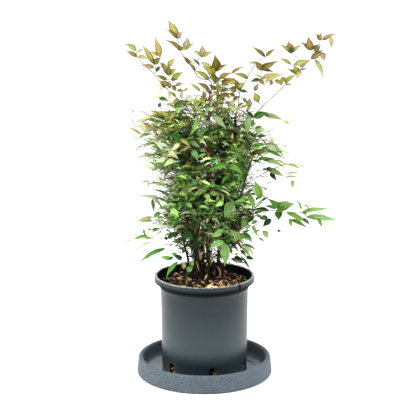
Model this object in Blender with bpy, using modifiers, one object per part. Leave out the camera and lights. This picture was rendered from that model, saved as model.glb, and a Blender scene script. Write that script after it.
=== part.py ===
"""A heavenly bamboo in a round nursery pot that stands on a deep saucer.

Metres, +Z up. The origin is the middle of the saucer's flat underside. The viewer stands on the -Y side,
so +X is on the viewer's right and +Y is the back of the plant.
"""
import math
from collections import namedtuple

import bmesh
import bpy
from mathutils import Vector, noise

# Clearance between two pieces that touch on the real plant.
FIT_GAP = 0.0003
# Foliage is cut back from the limbs and from the next mass by a little more, so that facets never meet.
LIMB_CLEARANCE = 0.0004
MASS_CLEARANCE = 0.0009

# The saucer: a thick round wall on a thin floor.
SAUCER_HEIGHT = 0.054
SAUCER_FOOT_RADIUS = 0.204
SAUCER_LIP_RADIUS = 0.200
SAUCER_FLOOR = 0.0045
SAUCER_WALL = 0.0155
SAUCER_INNER_FLOOR_RADIUS = 0.181
SAUCER_FOOT_ROUND = 0.008

# The pot: 300 mm across its rolled lip and 300 mm high, nearly straight below the flared neck.
POT_FOOT_Z = SAUCER_FLOOR + FIT_GAP
POT_HEIGHT = 0.3005
POT_RIM_Z = POT_FOOT_Z + POT_HEIGHT
POT_LIP_RADIUS = 0.150
POT_MOUTH_RADIUS = 0.1407
POT_BODY_RADIUS = 0.131
POT_BASE_RADIUS = 0.128
POT_WALL = 0.003
POT_FOOT_ROUND = 0.006
LIP_DEPTH = 0.017
NECK_DEPTH = 0.038

# Six arched drain slots round the foot of the pot.
SLOT_COUNT = 6
SLOT_FIRST_ANGLE = -79
SLOT_WIDTH = 0.024
SLOT_TOP_Z = 0.054
SLOT_INNER_RADIUS = 0.114
SLOT_OUTER_RADIUS = 0.138

# The potting mix fills the pot to 25 mm below the lip.
MIX_TOP_Z = POT_RIM_Z - 0.0253

TURN_STEPS = 24
ROUND_SPANS = 4
FOOT_SPANS = 2

# The clump of canes stands a little right of the pot's middle and behind it.
CLUMP = Vector((0.010, 0.015, 0.0))
CANE_TIP_SHARE = 0.42
ROOT_FLARE = 0.45
ROOT_FLARE_HEIGHT = 0.012
CANE_CUT_LENGTH = 0.006
CANE_SPANS = 3
# Above 1, a cane starts upright and leans out more the higher it goes.
CANE_LEAN_POWER = 1.3

# A cane: the way it leans (degrees anticlockwise from +X), its distance from the clump's middle at the foot
# and at the tip, the height of its tip and its thickness above the root flare.
Cane = namedtuple("Cane", "name angle foot tip height thickness")
CANES = (
    Cane("cane_left", 180, 0.029, 0.042, 0.790, 0.0120),
    Cane("cane_right", 4, 0.028, 0.086, 0.800, 0.0115),
    Cane("cane_far_right", -22, 0.045, 0.150, 0.700, 0.0095),
    Cane("cane_middle", 70, 0.006, 0.016, 0.860, 0.0105),
    Cane("cane_back", 92, 0.036, 0.085, 0.770, 0.0100),
    Cane("cane_back_left", 136, 0.040, 0.110, 0.680, 0.0095),
    Cane("cane_back_right", 48, 0.040, 0.115, 0.600, 0.0095),
    Cane("cane_front", -92, 0.034, 0.075, 0.720, 0.0100),
    Cane("cane_front_left", -140, 0.040, 0.105, 0.580, 0.0090),
    Cane("cane_low_left", 163, 0.050, 0.115, 0.510, 0.0085),
)

# The body of the crown: levels of masses round the clump. Each level states its middle height, its
# half height and how far it reaches from the clump's middle to each side.
Level = namedtuple("Level", "name height half_height left right front back colour")
LEVELS = (
    Level("high", 0.845, 0.060, 0.105, 0.115, 0.0, 0.0, "bronze"),
    Level("upper", 0.735, 0.086, 0.205, 0.168, 0.165, 0.185, "olive"),
    Level("middle", 0.590, 0.090, 0.200, 0.186, 0.195, 0.205, "green"),
    Level("lower", 0.462, 0.074, 0.210, 0.165, 0.170, 0.195, "green"),
)
# A side's name, its direction and how much higher its masses sit than the level's middle.
Side = namedtuple("Side", "name angle step")
SIDES = (
    Side("left", 180, 0.006),
    Side("right", 0, -0.020),
    Side("front", -90, 0.014),
    Side("back", 90, -0.010),
)
BODY_INNER_SHARE = 0.16
BODY_SPREAD_SHARE = 0.70

# An outer spray: the cane that carries its bough and the height where the bough leaves it, the point
# where the foliage begins, the tip of the foliage, and its half sizes up and down and to the sides.
Spray = namedtuple("Spray", "name cane height entry tip rise spread colour")
SPRAYS = (
    Spray("left_wing", "cane_left", 0.760, colour="bronze", rise=0.045, spread=0.040,
          entry=(-0.076, -0.020, 0.880), tip=(-0.238, -0.030, 0.998)),
    Spray("top_left", "cane_middle", 0.835, colour="bronze", rise=0.038, spread=0.036,
          entry=(-0.004, 0.020, 0.930), tip=(-0.104, 0.015, 1.064)),
    Spray("top_middle", "cane_back", 0.750, colour="bronze", rise=0.050, spread=0.045,
          entry=(0.036, 0.100, 0.865), tip=(0.038, 0.110, 0.975)),
    Spray("right_top", "cane_right", 0.785, colour="bronze", rise=0.046, spread=0.045,
          entry=(0.130, 0.000, 0.880), tip=(0.210, 0.000, 0.985)),
    Spray("right_wing", "cane_right", 0.715, colour="bronze", rise=0.052, spread=0.038,
          entry=(0.222, -0.035, 0.898), tip=(0.388, -0.060, 1.026)),
    Spray("left_upper", "cane_back_left", 0.650, colour="olive", rise=0.040, spread=0.040,
          entry=(-0.150, 0.060, 0.735), tip=(-0.232, 0.020, 0.785)),
    Spray("right_upper", "cane_far_right", 0.665, colour="olive", rise=0.030, spread=0.036,
          entry=(0.170, -0.060, 0.735), tip=(0.262, -0.070, 0.690)),
    Spray("right_middle", "cane_far_right", 0.580, colour="green", rise=0.030, spread=0.038,
          entry=(0.190, -0.030, 0.640), tip=(0.325, -0.030, 0.638)),
    Spray("right_low", "cane_far_right", 0.470, colour="green", rise=0.044, spread=0.045,
          entry=(0.180, -0.020, 0.508), tip=(0.400, -0.030, 0.474)),
    Spray("left_low", "cane_low_left", 0.395, colour="green", rise=0.026, spread=0.040,
          entry=(-0.150, 0.020, 0.425), tip=(-0.254, 0.010, 0.410)),
    Spray("left_drooping", "cane_front_left", 0.370, colour="green", rise=0.024, spread=0.034,
          entry=(-0.120, -0.060, 0.408), tip=(-0.200, -0.080, 0.362)),
    Spray("front_low", "cane_front", 0.400, colour="green", rise=0.026, spread=0.040,
          entry=(0.045, -0.120, 0.430), tip=(0.058, -0.205, 0.385)),
    Spray("front_middle", "cane_front", 0.560, colour="green", rise=0.034, spread=0.050,
          entry=(-0.030, -0.150, 0.600), tip=(-0.050, -0.240, 0.590)),
    Spray("back_top", "cane_back", 0.700, colour="olive", rise=0.036, spread=0.050,
          entry=(0.020, 0.170, 0.780), tip=(0.000, 0.260, 0.850)),
    Spray("back_low", "cane_back", 0.430, colour="green", rise=0.032, spread=0.050,
          entry=(0.010, 0.170, 0.450), tip=(-0.010, 0.275, 0.425)),
    Spray("back_right", "cane_back_right", 0.560, colour="green", rise=0.034, spread=0.045,
          entry=(0.140, 0.140, 0.600), tip=(0.190, 0.215, 0.640)),
)

# How strongly a spray's foliage draws in towards its tip.
SPRAY_TAPER = 0.28

# A mass is pushed in and out by two layers of noise, broad lumps and smaller ones: how many lumps fit its
# radius and how far they reach as a share of it. Each mass reads the noise at its own place.
LUMPS = ((1.6, 0.42), (3.4, 0.20))
LUMP_SHIFT = Vector((3.1, 1.7, 0.9))
# An axis that rises more steeply than this share of its length is measured across from +Y, not from +Z.
LEVEL_SHARE = 0.35

# Facets of a mass round its axis and along it.
SPRAY_FACETS = (6, 5)
BODY_FACETS = (9, 6)

# A bough: its radius at the cane and inside the foliage, its first straight stretch, and how far it
# reaches into the foliage.
BOUGH_FOOT_RADIUS = 0.0030
BOUGH_TIP_RADIUS = 0.0016
BOUGH_SHEATH = 0.010
BOUGH_INSIDE = 0.036
BOUGH_SPANS = 3
# How far a bough keeps its direction at each end, as a share of its span, and how it rises at first.
BOUGH_PULL = 0.38
BOUGH_RISE = Vector((0.0, 0.0, 0.7))

# Colours and roughness of the real surfaces.
FINISHES = {
    "saucer": ((0.160, 0.195, 0.225), 0.55),
    "pot": ((0.070, 0.085, 0.095), 0.45),
    "mix": ((0.035, 0.022, 0.012), 0.95),
    "cane": ((0.070, 0.030, 0.020), 0.75),
    "bough": ((0.300, 0.110, 0.080), 0.60),
    "bronze": ((0.260, 0.180, 0.060), 0.55),
    "olive": ((0.150, 0.170, 0.045), 0.55),
    "green": ((0.080, 0.170, 0.035), 0.50),
}


def clear_scene():
    """Remove whatever the scene held before."""
    for old in list(bpy.data.objects):
        bpy.data.objects.remove(old, do_unlink=True)


def new_collection(name):
    """Make a collection under the scene."""
    collection = bpy.data.collections.new(name)
    bpy.context.scene.collection.children.link(collection)
    return collection


def finish(solid, look):
    """Give a solid a material of its own."""
    colour, roughness = FINISHES[look]
    material = bpy.data.materials.new(solid.name + "_finish")
    material.use_nodes = True
    shader = material.node_tree.nodes["Principled BSDF"]
    shader.inputs["Base Color"].default_value = (*colour, 1.0)
    shader.inputs["Roughness"].default_value = roughness
    shader.inputs["Metallic"].default_value = 0.0
    material.diffuse_color = (*colour, 1.0)
    solid.data.materials.clear()
    solid.data.materials.append(material)


def make_cutter(cutter, cutters):
    """Mark an object as a tool that isn't part of the plant."""
    cutter.hide_render = True
    cutter.display_type = "WIRE"
    cutters.objects.link(cutter)


def arc(centre, radius, start, stop, spans):
    """Points of a circular arc in a profile, angles in degrees from +X."""
    points = []
    for index in range(spans + 1):
        angle = math.radians(start + (stop - start) * index / spans)
        points.append((centre[0] + radius * math.cos(angle), centre[1] + radius * math.sin(angle)))
    return points


def turned(name, profile, look, collection):
    """Turn a profile of (radius, height) points round Z with a Screw modifier."""
    mesh = bpy.data.meshes.new(name)
    edges = [(index, index + 1) for index in range(len(profile) - 1)]
    mesh.from_pydata([(radius, 0.0, height) for radius, height in profile], edges, [])
    solid = bpy.data.objects.new(name, mesh)
    collection.objects.link(solid)
    screw = solid.modifiers.new("Turn", "SCREW")
    screw.steps = TURN_STEPS
    screw.render_steps = TURN_STEPS
    screw.use_merge_vertices = True
    screw.merge_threshold = 0.00005
    screw.use_smooth_shade = True
    finish(solid, look)
    return solid


def saucer_profile():
    """From the middle of the floor, up the inside, over the round lip, down the outside and back."""
    lip_round = SAUCER_WALL / 2
    lip_middle = (SAUCER_LIP_RADIUS - lip_round, SAUCER_HEIGHT - lip_round)
    foot_middle = (SAUCER_FOOT_RADIUS - SAUCER_FOOT_ROUND, SAUCER_FOOT_ROUND)
    profile = [(0.0, SAUCER_FLOOR), (SAUCER_INNER_FLOOR_RADIUS, SAUCER_FLOOR)]
    profile += arc(lip_middle, lip_round, 180, 0, ROUND_SPANS)
    profile += arc(foot_middle, SAUCER_FOOT_ROUND, 0, -90, FOOT_SPANS)
    profile.append((0.0, 0.0))
    return profile


def pot_inner_wall():
    """The pot's inside from just below the lip to the edge of its floor."""
    return [
        (POT_MOUTH_RADIUS - 0.001, POT_RIM_Z - LIP_DEPTH),
        (POT_BODY_RADIUS - POT_WALL + 0.0015, POT_RIM_Z - NECK_DEPTH + 0.002),
        (POT_BASE_RADIUS - POT_WALL, POT_FOOT_Z + POT_WALL),
    ]


def pot_profile():
    """From the middle of the floor, up the inside, over the rolled lip, down the neck, body and foot."""
    lip_round = (POT_LIP_RADIUS - POT_MOUTH_RADIUS) / 2
    lip_middle = (POT_MOUTH_RADIUS + lip_round, POT_RIM_Z - lip_round)
    foot_middle = (POT_BASE_RADIUS - POT_FOOT_ROUND, POT_FOOT_Z + POT_FOOT_ROUND)
    profile = [(0.0, POT_FOOT_Z + POT_WALL)]
    profile += reversed(pot_inner_wall())
    profile += arc(lip_middle, lip_round, 180, 0, ROUND_SPANS)
    profile += [
        (POT_LIP_RADIUS - 0.0005, POT_RIM_Z - LIP_DEPTH),
        (POT_LIP_RADIUS - 0.0060, POT_RIM_Z - LIP_DEPTH - 0.004),
        (POT_BODY_RADIUS + 0.0030, POT_RIM_Z - NECK_DEPTH + 0.004),
        (POT_BODY_RADIUS, POT_RIM_Z - NECK_DEPTH - 0.006),
    ]
    profile += arc(foot_middle, POT_FOOT_ROUND, 0, -90, FOOT_SPANS)
    profile.append((0.0, POT_FOOT_Z))
    return profile


def mix_profile():
    """The root ball: flat on top, down the inside of the pot, flat below."""
    upper, neck, foot = [(radius - FIT_GAP, height) for radius, height in pot_inner_wall()]
    share = (MIX_TOP_Z - neck[1]) / (upper[1] - neck[1])
    edge_radius = neck[0] + (upper[0] - neck[0]) * share
    floor_z = foot[1] + FIT_GAP
    return [(0.0, MIX_TOP_Z), (edge_radius, MIX_TOP_Z), neck, (foot[0], floor_z), (0.0, floor_z)]


def mesh_copy(source, name, collection):
    """A mesh object with the evaluated shape of another object, its loose seams welded."""
    bpy.context.view_layer.update()
    evaluated = source.evaluated_get(bpy.context.evaluated_depsgraph_get())
    mesh = bpy.data.meshes.new_from_object(evaluated)
    shape = bmesh.new()
    shape.from_mesh(mesh)
    bmesh.ops.remove_doubles(shape, verts=shape.verts, dist=0.00001)
    bmesh.ops.recalc_face_normals(shape, faces=shape.faces)
    shape.to_mesh(mesh)
    shape.free()
    copy = bpy.data.objects.new(name, mesh)
    copy.matrix_world = source.matrix_world.copy()
    if collection is not None:
        collection.objects.link(copy)
    return copy


def drain_slot(angle, cutters):
    """An arched block that cuts one slot through the pot's wall and the edge of its base."""
    half = SLOT_WIDTH / 2
    bottom = POT_FOOT_Z - 0.004
    outline = arc((0.0, SLOT_TOP_Z - half), half, 180, 0, ROUND_SPANS) + [(half, bottom), (-half, bottom)]
    curve = bpy.data.curves.new("slot_outline", "CURVE")
    curve.dimensions = "2D"
    curve.fill_mode = "BOTH"
    curve.extrude = (SLOT_OUTER_RADIUS - SLOT_INNER_RADIUS) / 2
    spline = curve.splines.new("POLY")
    spline.points.add(len(outline) - 1)
    for point, (across, up) in zip(spline.points, outline):
        point.co = (across, up, 0.0, 1.0)
    spline.use_cyclic_u = True
    block = bpy.data.objects.new("slot_block", curve)
    bpy.context.scene.collection.objects.link(block)
    middle_radius = (SLOT_OUTER_RADIUS + SLOT_INNER_RADIUS) / 2
    turn = math.radians(angle)
    block.location = (middle_radius * math.cos(turn), middle_radius * math.sin(turn), 0.0)
    block.rotation_euler = (math.radians(90), 0.0, turn + math.radians(90))
    bpy.context.view_layer.update()
    cutter = mesh_copy(block, "slot_cutter", None)
    make_cutter(cutter, cutters)
    bpy.data.objects.remove(block, do_unlink=True)
    return cutter


def cut(solid, cutter):
    """Take a cutter away from a solid."""
    boolean = solid.modifiers.new("Cut", "BOOLEAN")
    boolean.operation = "DIFFERENCE"
    boolean.solver = "EXACT"
    boolean.object = cutter


def limb(name, points, radii, resolution, collection):
    """A tapering round limb through its points, with flat ends."""
    curve = bpy.data.curves.new(name, "CURVE")
    curve.dimensions = "3D"
    curve.bevel_depth = 1.0
    curve.bevel_resolution = resolution
    curve.use_fill_caps = True
    spline = curve.splines.new("POLY")
    spline.points.add(len(points) - 1)
    for point, place, radius in zip(spline.points, points, radii):
        point.co = (*place, 1.0)
        point.radius = radius
    branch = bpy.data.objects.new(name, curve)
    collection.objects.link(branch)
    return branch


def limb_cutter(points, radii, cutters):
    """A square tunnel round a limb, one clearance wider on each side, as a mesh that cuts the foliage."""
    fat = [(radius + LIMB_CLEARANCE) * math.sqrt(2) for radius in radii]
    first = points[0] - (points[1] - points[0]).normalized() * LIMB_CLEARANCE
    last = points[-1] + (points[-1] - points[-2]).normalized() * LIMB_CLEARANCE
    rough = limb("limb_cutter_curve", [first, *points[1:-1], last], fat, 0, cutters)
    cutter = mesh_copy(rough, "limb_cutter", None)
    make_cutter(cutter, cutters)
    bpy.data.objects.remove(rough, do_unlink=True)
    return cutter


def heading(angle):
    """A level unit vector, degrees anticlockwise from +X."""
    return Vector((math.cos(math.radians(angle)), math.sin(math.radians(angle)), 0.0))


def cane_line(cane):
    """Points and radii of a cane, from its flat cut on the potting mix to its tip.

    It starts upright and leans further out the higher it goes.
    """
    outward = heading(cane.angle)
    foot_z = MIX_TOP_Z + FIT_GAP
    length = cane.height - foot_z
    span = (length - CANE_CUT_LENGTH) / CANE_SPANS
    heights = [0.0] + [CANE_CUT_LENGTH + span * step for step in range(CANE_SPANS + 1)]
    points = []
    radii = []
    for height in heights:
        share = max(0.0, (height - CANE_CUT_LENGTH) / (length - CANE_CUT_LENGTH))
        reach = cane.foot + (cane.tip - cane.foot) * share ** CANE_LEAN_POWER
        points.append(CLUMP + outward * reach + Vector((0.0, 0.0, foot_z + height)))
        flare = 1.0 + ROOT_FLARE * math.exp(-height / ROOT_FLARE_HEIGHT)
        radii.append(cane.thickness / 2 * flare * (1.0 - (1.0 - CANE_TIP_SHARE) * share))
    return points, radii


def on_cane(line, height):
    """Centre, radius and direction of a cane at a height."""
    points, radii = line
    for low, high, thick, thin in zip(points, points[1:], radii, radii[1:]):
        if low.z <= height <= high.z:
            share = (height - low.z) / (high.z - low.z)
            return low.lerp(high, share), thick + (thin - thick) * share, (high - low).normalized()
    return points[-1], radii[-1], (points[-1] - points[-2]).normalized()


def bough_line(spray, cane):
    """Points and radii of a bough, from the cane's side into the foliage that it carries.

    It leaves the cane squarely, rises in one smooth curve and enters its foliage along the foliage's axis.
    """
    centre, radius, direction = on_cane(cane, spray.height)
    entry = Vector(spray.entry)
    axis = (Vector(spray.tip) - entry).normalized()
    outward = entry - centre
    outward.z = 0.0
    outward = (outward - direction * outward.dot(direction)).normalized()
    start = centre + outward * (radius + FIT_GAP)
    knee = start + outward * BOUGH_SHEATH
    pull = (entry - knee).length * BOUGH_PULL
    first_handle = knee + (outward + BOUGH_RISE).normalized() * pull
    last_handle = entry - axis * pull
    points = [start]
    for step in range(BOUGH_SPANS + 1):
        share = step / BOUGH_SPANS
        rest = 1.0 - share
        points.append(knee * rest ** 3 + first_handle * 3 * rest ** 2 * share
                      + last_handle * 3 * rest * share ** 2 + entry * share ** 3)
    points.append(entry + axis * BOUGH_INSIDE)
    thinning = (BOUGH_FOOT_RADIUS - BOUGH_TIP_RADIUS) / (len(points) - 1)
    radii = [BOUGH_FOOT_RADIUS - thinning * index for index in range(len(points))]
    return points, radii


def foliage(name, start, end, rise, spread, taper, facets, seed):
    """One uneven mass of leaves from start to end.

    A ball is stretched along its axis, flattened across it, drawn in towards the end by the taper, and
    pushed in and out by smooth noise.
    """
    start = Vector(start)
    end = Vector(end)
    axis = end - start
    side = axis.cross(Vector((0.0, 0.0, 1.0)))
    if side.length < LEVEL_SHARE * axis.length:
        side = axis.cross(Vector((0.0, 1.0, 0.0)))
    side.normalize()
    lift = side.cross(axis).normalized()
    shape = bmesh.new()
    bmesh.ops.create_uvsphere(shape, u_segments=facets[0], v_segments=facets[1], radius=1.0)
    shift = LUMP_SHIFT * seed
    for corner in shape.verts:
        bump = sum(noise.noise(corner.co * scale + shift) * reach for scale, reach in LUMPS)
        corner.co *= 1.0 + bump
        drawn_in = 1.0 - taper * corner.co.z
        corner.co.x *= drawn_in
        corner.co.y *= drawn_in
    lowest = min(corner.co.z for corner in shape.verts)
    highest = max(corner.co.z for corner in shape.verts)
    for corner in shape.verts:
        share = (corner.co.z - lowest) / (highest - lowest)
        corner.co = start + axis * share + side * (corner.co.x * spread) + lift * (corner.co.y * rise)
    bmesh.ops.triangulate(shape, faces=shape.faces)
    bmesh.ops.recalc_face_normals(shape, faces=shape.faces)
    mesh = bpy.data.meshes.new(name)
    shape.to_mesh(mesh)
    shape.free()
    return bpy.data.objects.new(name, mesh)


def grown_copy(mass, cutters):
    """A mass pushed out along its normals by the clearance, to cut the next masses."""
    shape = bmesh.new()
    shape.from_mesh(mass.data)
    shape.normal_update()
    for corner in shape.verts:
        corner.co += corner.normal * MASS_CLEARANCE
    mesh = bpy.data.meshes.new("mass_cutter")
    shape.to_mesh(mesh)
    shape.free()
    cutter = bpy.data.objects.new("mass_cutter", mesh)
    make_cutter(cutter, cutters)
    return cutter


def box_of(thing):
    """Lowest and highest corner of an object's own mesh."""
    places = [corner.co for corner in thing.data.vertices]
    low = Vector([min(place[axis] for place in places) for axis in range(3)])
    high = Vector([max(place[axis] for place in places) for axis in range(3)])
    return low, high


def boxes_meet(first, second):
    """True where two boxes share space."""
    return all(first[0][axis] < second[1][axis] and second[0][axis] < first[1][axis] for axis in range(3))


def largest_piece(mesh):
    """Delete every loose island of a mesh but the one with the most volume."""
    shape = bmesh.new()
    shape.from_mesh(mesh)
    bmesh.ops.triangulate(shape, faces=shape.faces)
    unseen = set(shape.faces)
    islands = []
    while unseen:
        queue = [unseen.pop()]
        island = []
        while queue:
            face = queue.pop()
            island.append(face)
            for edge in face.edges:
                for neighbour in edge.link_faces:
                    if neighbour in unseen:
                        unseen.remove(neighbour)
                        queue.append(neighbour)
        islands.append(island)
    islands.sort(key=lambda island: abs(sum(
        face.verts[0].co.dot(face.verts[1].co.cross(face.verts[2].co)) for face in island)))
    for island in islands[:-1]:
        bmesh.ops.delete(shape, geom=island, context="FACES")
    loose = [corner for corner in shape.verts if not corner.link_faces]
    bmesh.ops.delete(shape, geom=loose, context="VERTS")
    shape.to_mesh(mesh)
    shape.free()


def carve(mass, tools, collection):
    """Cut a mass by every tool that it meets and keep what is left as one body."""
    collection.objects.link(mass)
    box = box_of(mass)
    for tool in tools:
        if boxes_meet(box, box_of(tool)):
            cut(mass, tool)
    bpy.context.view_layer.update()
    evaluated = mass.evaluated_get(bpy.context.evaluated_depsgraph_get())
    carved = bpy.data.meshes.new_from_object(evaluated)
    mass.modifiers.clear()
    mass.data = carved
    largest_piece(carved)


def build_vessels(plant, cutters):
    """The saucer, the pot with its drain slots, and the potting mix."""
    turned("saucer", saucer_profile(), "saucer", plant)
    pot = turned("pot", pot_profile(), "pot", plant)
    for number in range(SLOT_COUNT):
        cut(pot, drain_slot(SLOT_FIRST_ANGLE + number * 360 / SLOT_COUNT, cutters))
    turned("potting_mix", mix_profile(), "mix", plant)


def build_limbs(plant, cutters):
    """Every cane and bough, and the shapes that cut the foliage round them."""
    tools = []
    lines = {}
    for cane in CANES:
        points, radii = cane_line(cane)
        lines[cane.name] = (points, radii)
        finish(limb(cane.name, points, radii, 2, plant), "cane")
        tools.append(limb_cutter(points, radii, cutters))
    for spray in SPRAYS:
        points, radii = bough_line(spray, lines[spray.cane])
        finish(limb("bough_" + spray.name, points, radii, 1, plant), "bough")
        tools.append(limb_cutter(points, radii, cutters))
    return tools


def body_mass(level, side, seed):
    """One mass of the crown's body, from near the clump's middle out to its side."""
    reach = getattr(level, side.name)
    outward = heading(side.angle)
    middle = CLUMP + Vector((0.0, 0.0, level.height + side.step))
    start = middle + outward * reach * BODY_INNER_SHARE
    end = middle + outward * reach
    name = level.name + "_" + side.name + "_foliage"
    return foliage(name, start, end, level.half_height, reach * BODY_SPREAD_SHARE, 0.0, BODY_FACETS, seed)


def build_foliage(plant, cutters, limb_tools):
    """The outer sprays first, then the body level by level, each cut round all that came before."""
    mass_tools = []
    seed = 1
    rough = []
    for spray in SPRAYS:
        mass = foliage(spray.name + "_foliage", spray.entry, spray.tip, spray.rise, spray.spread,
                       SPRAY_TAPER, SPRAY_FACETS, seed)
        rough.append((mass, spray.colour))
        seed += 1
    for level in LEVELS:
        for side in SIDES:
            if getattr(level, side.name) > 0.0:
                rough.append((body_mass(level, side, seed), level.colour))
                seed += 1
    for mass, colour in rough:
        grown = grown_copy(mass, cutters)
        carve(mass, limb_tools + mass_tools, plant)
        finish(mass, colour)
        mass_tools.append(grown)


def main():
    clear_scene()
    plant = new_collection("heavenly_bamboo")
    cutters = new_collection("cutters")
    build_vessels(plant, cutters)
    limb_tools = build_limbs(plant, cutters)
    build_foliage(plant, cutters, limb_tools)


main()
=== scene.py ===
# %% [markdown]
# A heavenly bamboo in its nursery pot.
# This lesson grows one potted shrub round a fixed frame. The frame holds the true sizes: a saucer, a pot, ten
# canes, sixteen main leaf stalks and thirty closed masses that say how far the foliage reaches. Each plain
# solid is replaced here by what the eye expects there. Lengths are in metres, +Z is up and the viewer stands
# on the -Y side.

# %% The frame
import math
from collections import defaultdict, namedtuple

import bmesh
import bpy
import numpy as np
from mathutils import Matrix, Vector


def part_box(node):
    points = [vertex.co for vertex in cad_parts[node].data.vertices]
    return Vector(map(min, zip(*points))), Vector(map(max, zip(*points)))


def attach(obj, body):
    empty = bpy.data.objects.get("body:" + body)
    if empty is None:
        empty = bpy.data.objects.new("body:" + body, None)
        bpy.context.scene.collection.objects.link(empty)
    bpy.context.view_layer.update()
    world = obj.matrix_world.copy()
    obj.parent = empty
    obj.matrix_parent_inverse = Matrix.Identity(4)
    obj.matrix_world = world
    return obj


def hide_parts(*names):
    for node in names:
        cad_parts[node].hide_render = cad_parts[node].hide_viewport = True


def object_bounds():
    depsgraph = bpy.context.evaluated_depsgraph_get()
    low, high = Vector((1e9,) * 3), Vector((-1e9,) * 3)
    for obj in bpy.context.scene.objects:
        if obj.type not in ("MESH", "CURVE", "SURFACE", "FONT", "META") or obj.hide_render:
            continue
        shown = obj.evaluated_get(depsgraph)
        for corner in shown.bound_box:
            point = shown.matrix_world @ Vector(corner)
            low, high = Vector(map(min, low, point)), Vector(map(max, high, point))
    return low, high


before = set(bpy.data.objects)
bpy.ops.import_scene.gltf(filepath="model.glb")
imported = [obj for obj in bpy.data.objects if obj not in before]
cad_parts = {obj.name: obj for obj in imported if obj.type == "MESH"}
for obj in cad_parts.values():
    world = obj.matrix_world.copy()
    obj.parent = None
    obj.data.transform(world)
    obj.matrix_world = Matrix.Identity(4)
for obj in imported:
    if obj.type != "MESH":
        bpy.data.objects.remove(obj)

cad_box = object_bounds()
print("frame of", len(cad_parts), "nodes, highest point", round(cad_box[1].z, 3))

# %% [markdown]
# The camera.
# The rims of a round pot and saucer show as ellipses, and how flat they are tells how steeply the lens looks
# down. Both agree on about thirteen degrees. The distance is read from how much smaller the far side of the
# rim is. A place in the picture is then a ray, and a depth along +Y picks one point on it.

# %% Camera
PICTURE_SIDE = 416
PICTURE_MIDDLE = 208.0
FOCAL_PX = 1350.6
SENSOR_MM = 36.0
PITCH = math.radians(12.92)
AIM = np.array([0.0108, 0.0, 0.5087])
DISTANCE = 4.0

FORWARD = np.array([0.0, math.cos(PITCH), -math.sin(PITCH)])
RIGHT = np.array([1.0, 0.0, 0.0])
SCREEN_UP = np.cross(RIGHT, FORWARD)
EYE = AIM - DISTANCE * FORWARD
UP = np.array([0.0, 0.0, 1.0])
LEVEL = np.array([1.0, 1.0, 0.0])


def view_ray(across, down):
    """Direction of the ray through a picture place, counted in pixels from the upper left corner."""
    return FORWARD + (RIGHT * (across - PICTURE_MIDDLE) - SCREEN_UP * (down - PICTURE_MIDDLE)) / FOCAL_PX


def at_depth(across, down, depth):
    """The point of a view ray where y equals the depth."""
    ray = view_ray(across, down)
    return EYE + ray * ((depth - EYE[1]) / ray[1])


def at_height(across, down, height):
    """The point of a view ray where z equals the height."""
    ray = view_ray(across, down)
    return EYE + ray * ((height - EYE[2]) / ray[2])


camera = bpy.data.objects.new("camera", bpy.data.cameras.new("camera"))
camera.data.sensor_width = SENSOR_MM
camera.data.lens = FOCAL_PX / PICTURE_SIDE * SENSOR_MM
camera.data.clip_end = 200.0
camera.location = EYE
camera.rotation_euler = (math.radians(90) - PITCH, 0.0, 0.0)
bpy.context.scene.collection.objects.link(camera)
bpy.context.scene.camera = camera
print("lens", round(camera.data.lens, 1), "mm")

# %% [markdown]
# Nodes and colours.
# Colours are written as the hex codes that a picture shows. Shaders count light evenly, so each code is
# turned to linear light first. One helper adds any node, sets its options and fills or links its inputs.

# %% Node helpers


def linear(code):
    """An sRGB hex code as linear red, green, blue and an alpha of 1."""
    srgb = np.array([int(code[start:start + 2], 16) for start in (1, 3, 5)]) / 255.0
    light = np.where(srgb <= 0.04045, srgb / 12.92, ((srgb + 0.055) / 1.055) ** 2.4)
    return (*light.tolist(), 1.0)


def add(tree, kind, inputs=None, **options):
    """Add a node. An input takes a plain value, or a link from another node's output."""
    node = tree.nodes.new(kind)
    for option, value in options.items():
        setattr(node, option, value)
    for socket, value in (inputs or {}).items():
        if isinstance(value, bpy.types.NodeSocket):
            tree.links.new(value, node.inputs[socket])
        else:
            node.inputs[socket].default_value = value
    return node


def per_metre(millimetres):
    """Texture scale for a pattern whose repeat is that many millimetres."""
    return 1000.0 / millimetres


def surface(name, **values):
    """A new material, its node tree and its Principled shader, with plain values set on the shader."""
    material = bpy.data.materials.new(name)
    material.use_nodes = True
    shader = material.node_tree.nodes["Principled BSDF"]
    for socket, value in values.items():
        shader.inputs[socket.replace("_", " ")].default_value = value
    return material, material.node_tree, shader


def place_outputs(tree):
    """Outputs of the place on an object, its height and its distance from the middle line."""
    place = add(tree, "ShaderNodeTexCoord").outputs["Object"]
    height = add(tree, "ShaderNodeSeparateXYZ", {"Vector": place}).outputs["Z"]
    level = add(tree, "ShaderNodeVectorMath", {0: place, 1: LEVEL}, operation="MULTIPLY")
    reach = add(tree, "ShaderNodeVectorMath", {0: level.outputs["Vector"]}, operation="LENGTH")
    return place, height, reach.outputs["Value"]


def ramp_tones(tree, share, tones):
    """A colour output: tones, as pairs of a share and a code, blended along a ramp."""
    node = add(tree, "ShaderNodeValToRGB", {"Fac": share})
    for number, (position, code) in enumerate(tones):
        elements = node.color_ramp.elements
        element = elements[number] if number < 2 else elements.new(position)
        element.position = position
        element.color = linear(code)
    return node.outputs["Color"]


# %% [markdown]
# Floor and light.
# The plant was photographed on white, with a soft lamp at each side: both edges of the pot shine, its middle
# is dark, and the leaves throw no hard shade. So the studio is white round the plant and dim behind the
# lens. A wide white floor, a sky that fades towards the viewer's side and large panels give the same.

# %% Floor and light
FLOOR_SIDE = 120.0
FLOOR_Z = -0.0005
SKY_BRIGHT = 1.35
SKY_DIM = 0.22
PANELS = {
    "left_panel": ((-3.1, -1.3, 2.0), 1.4, 130.0),
    "right_panel": ((3.1, -0.9, 1.8), 1.4, 90.0),
    "top_panel": ((-0.3, -1.5, 3.4), 1.4, 110.0),
}

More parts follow.
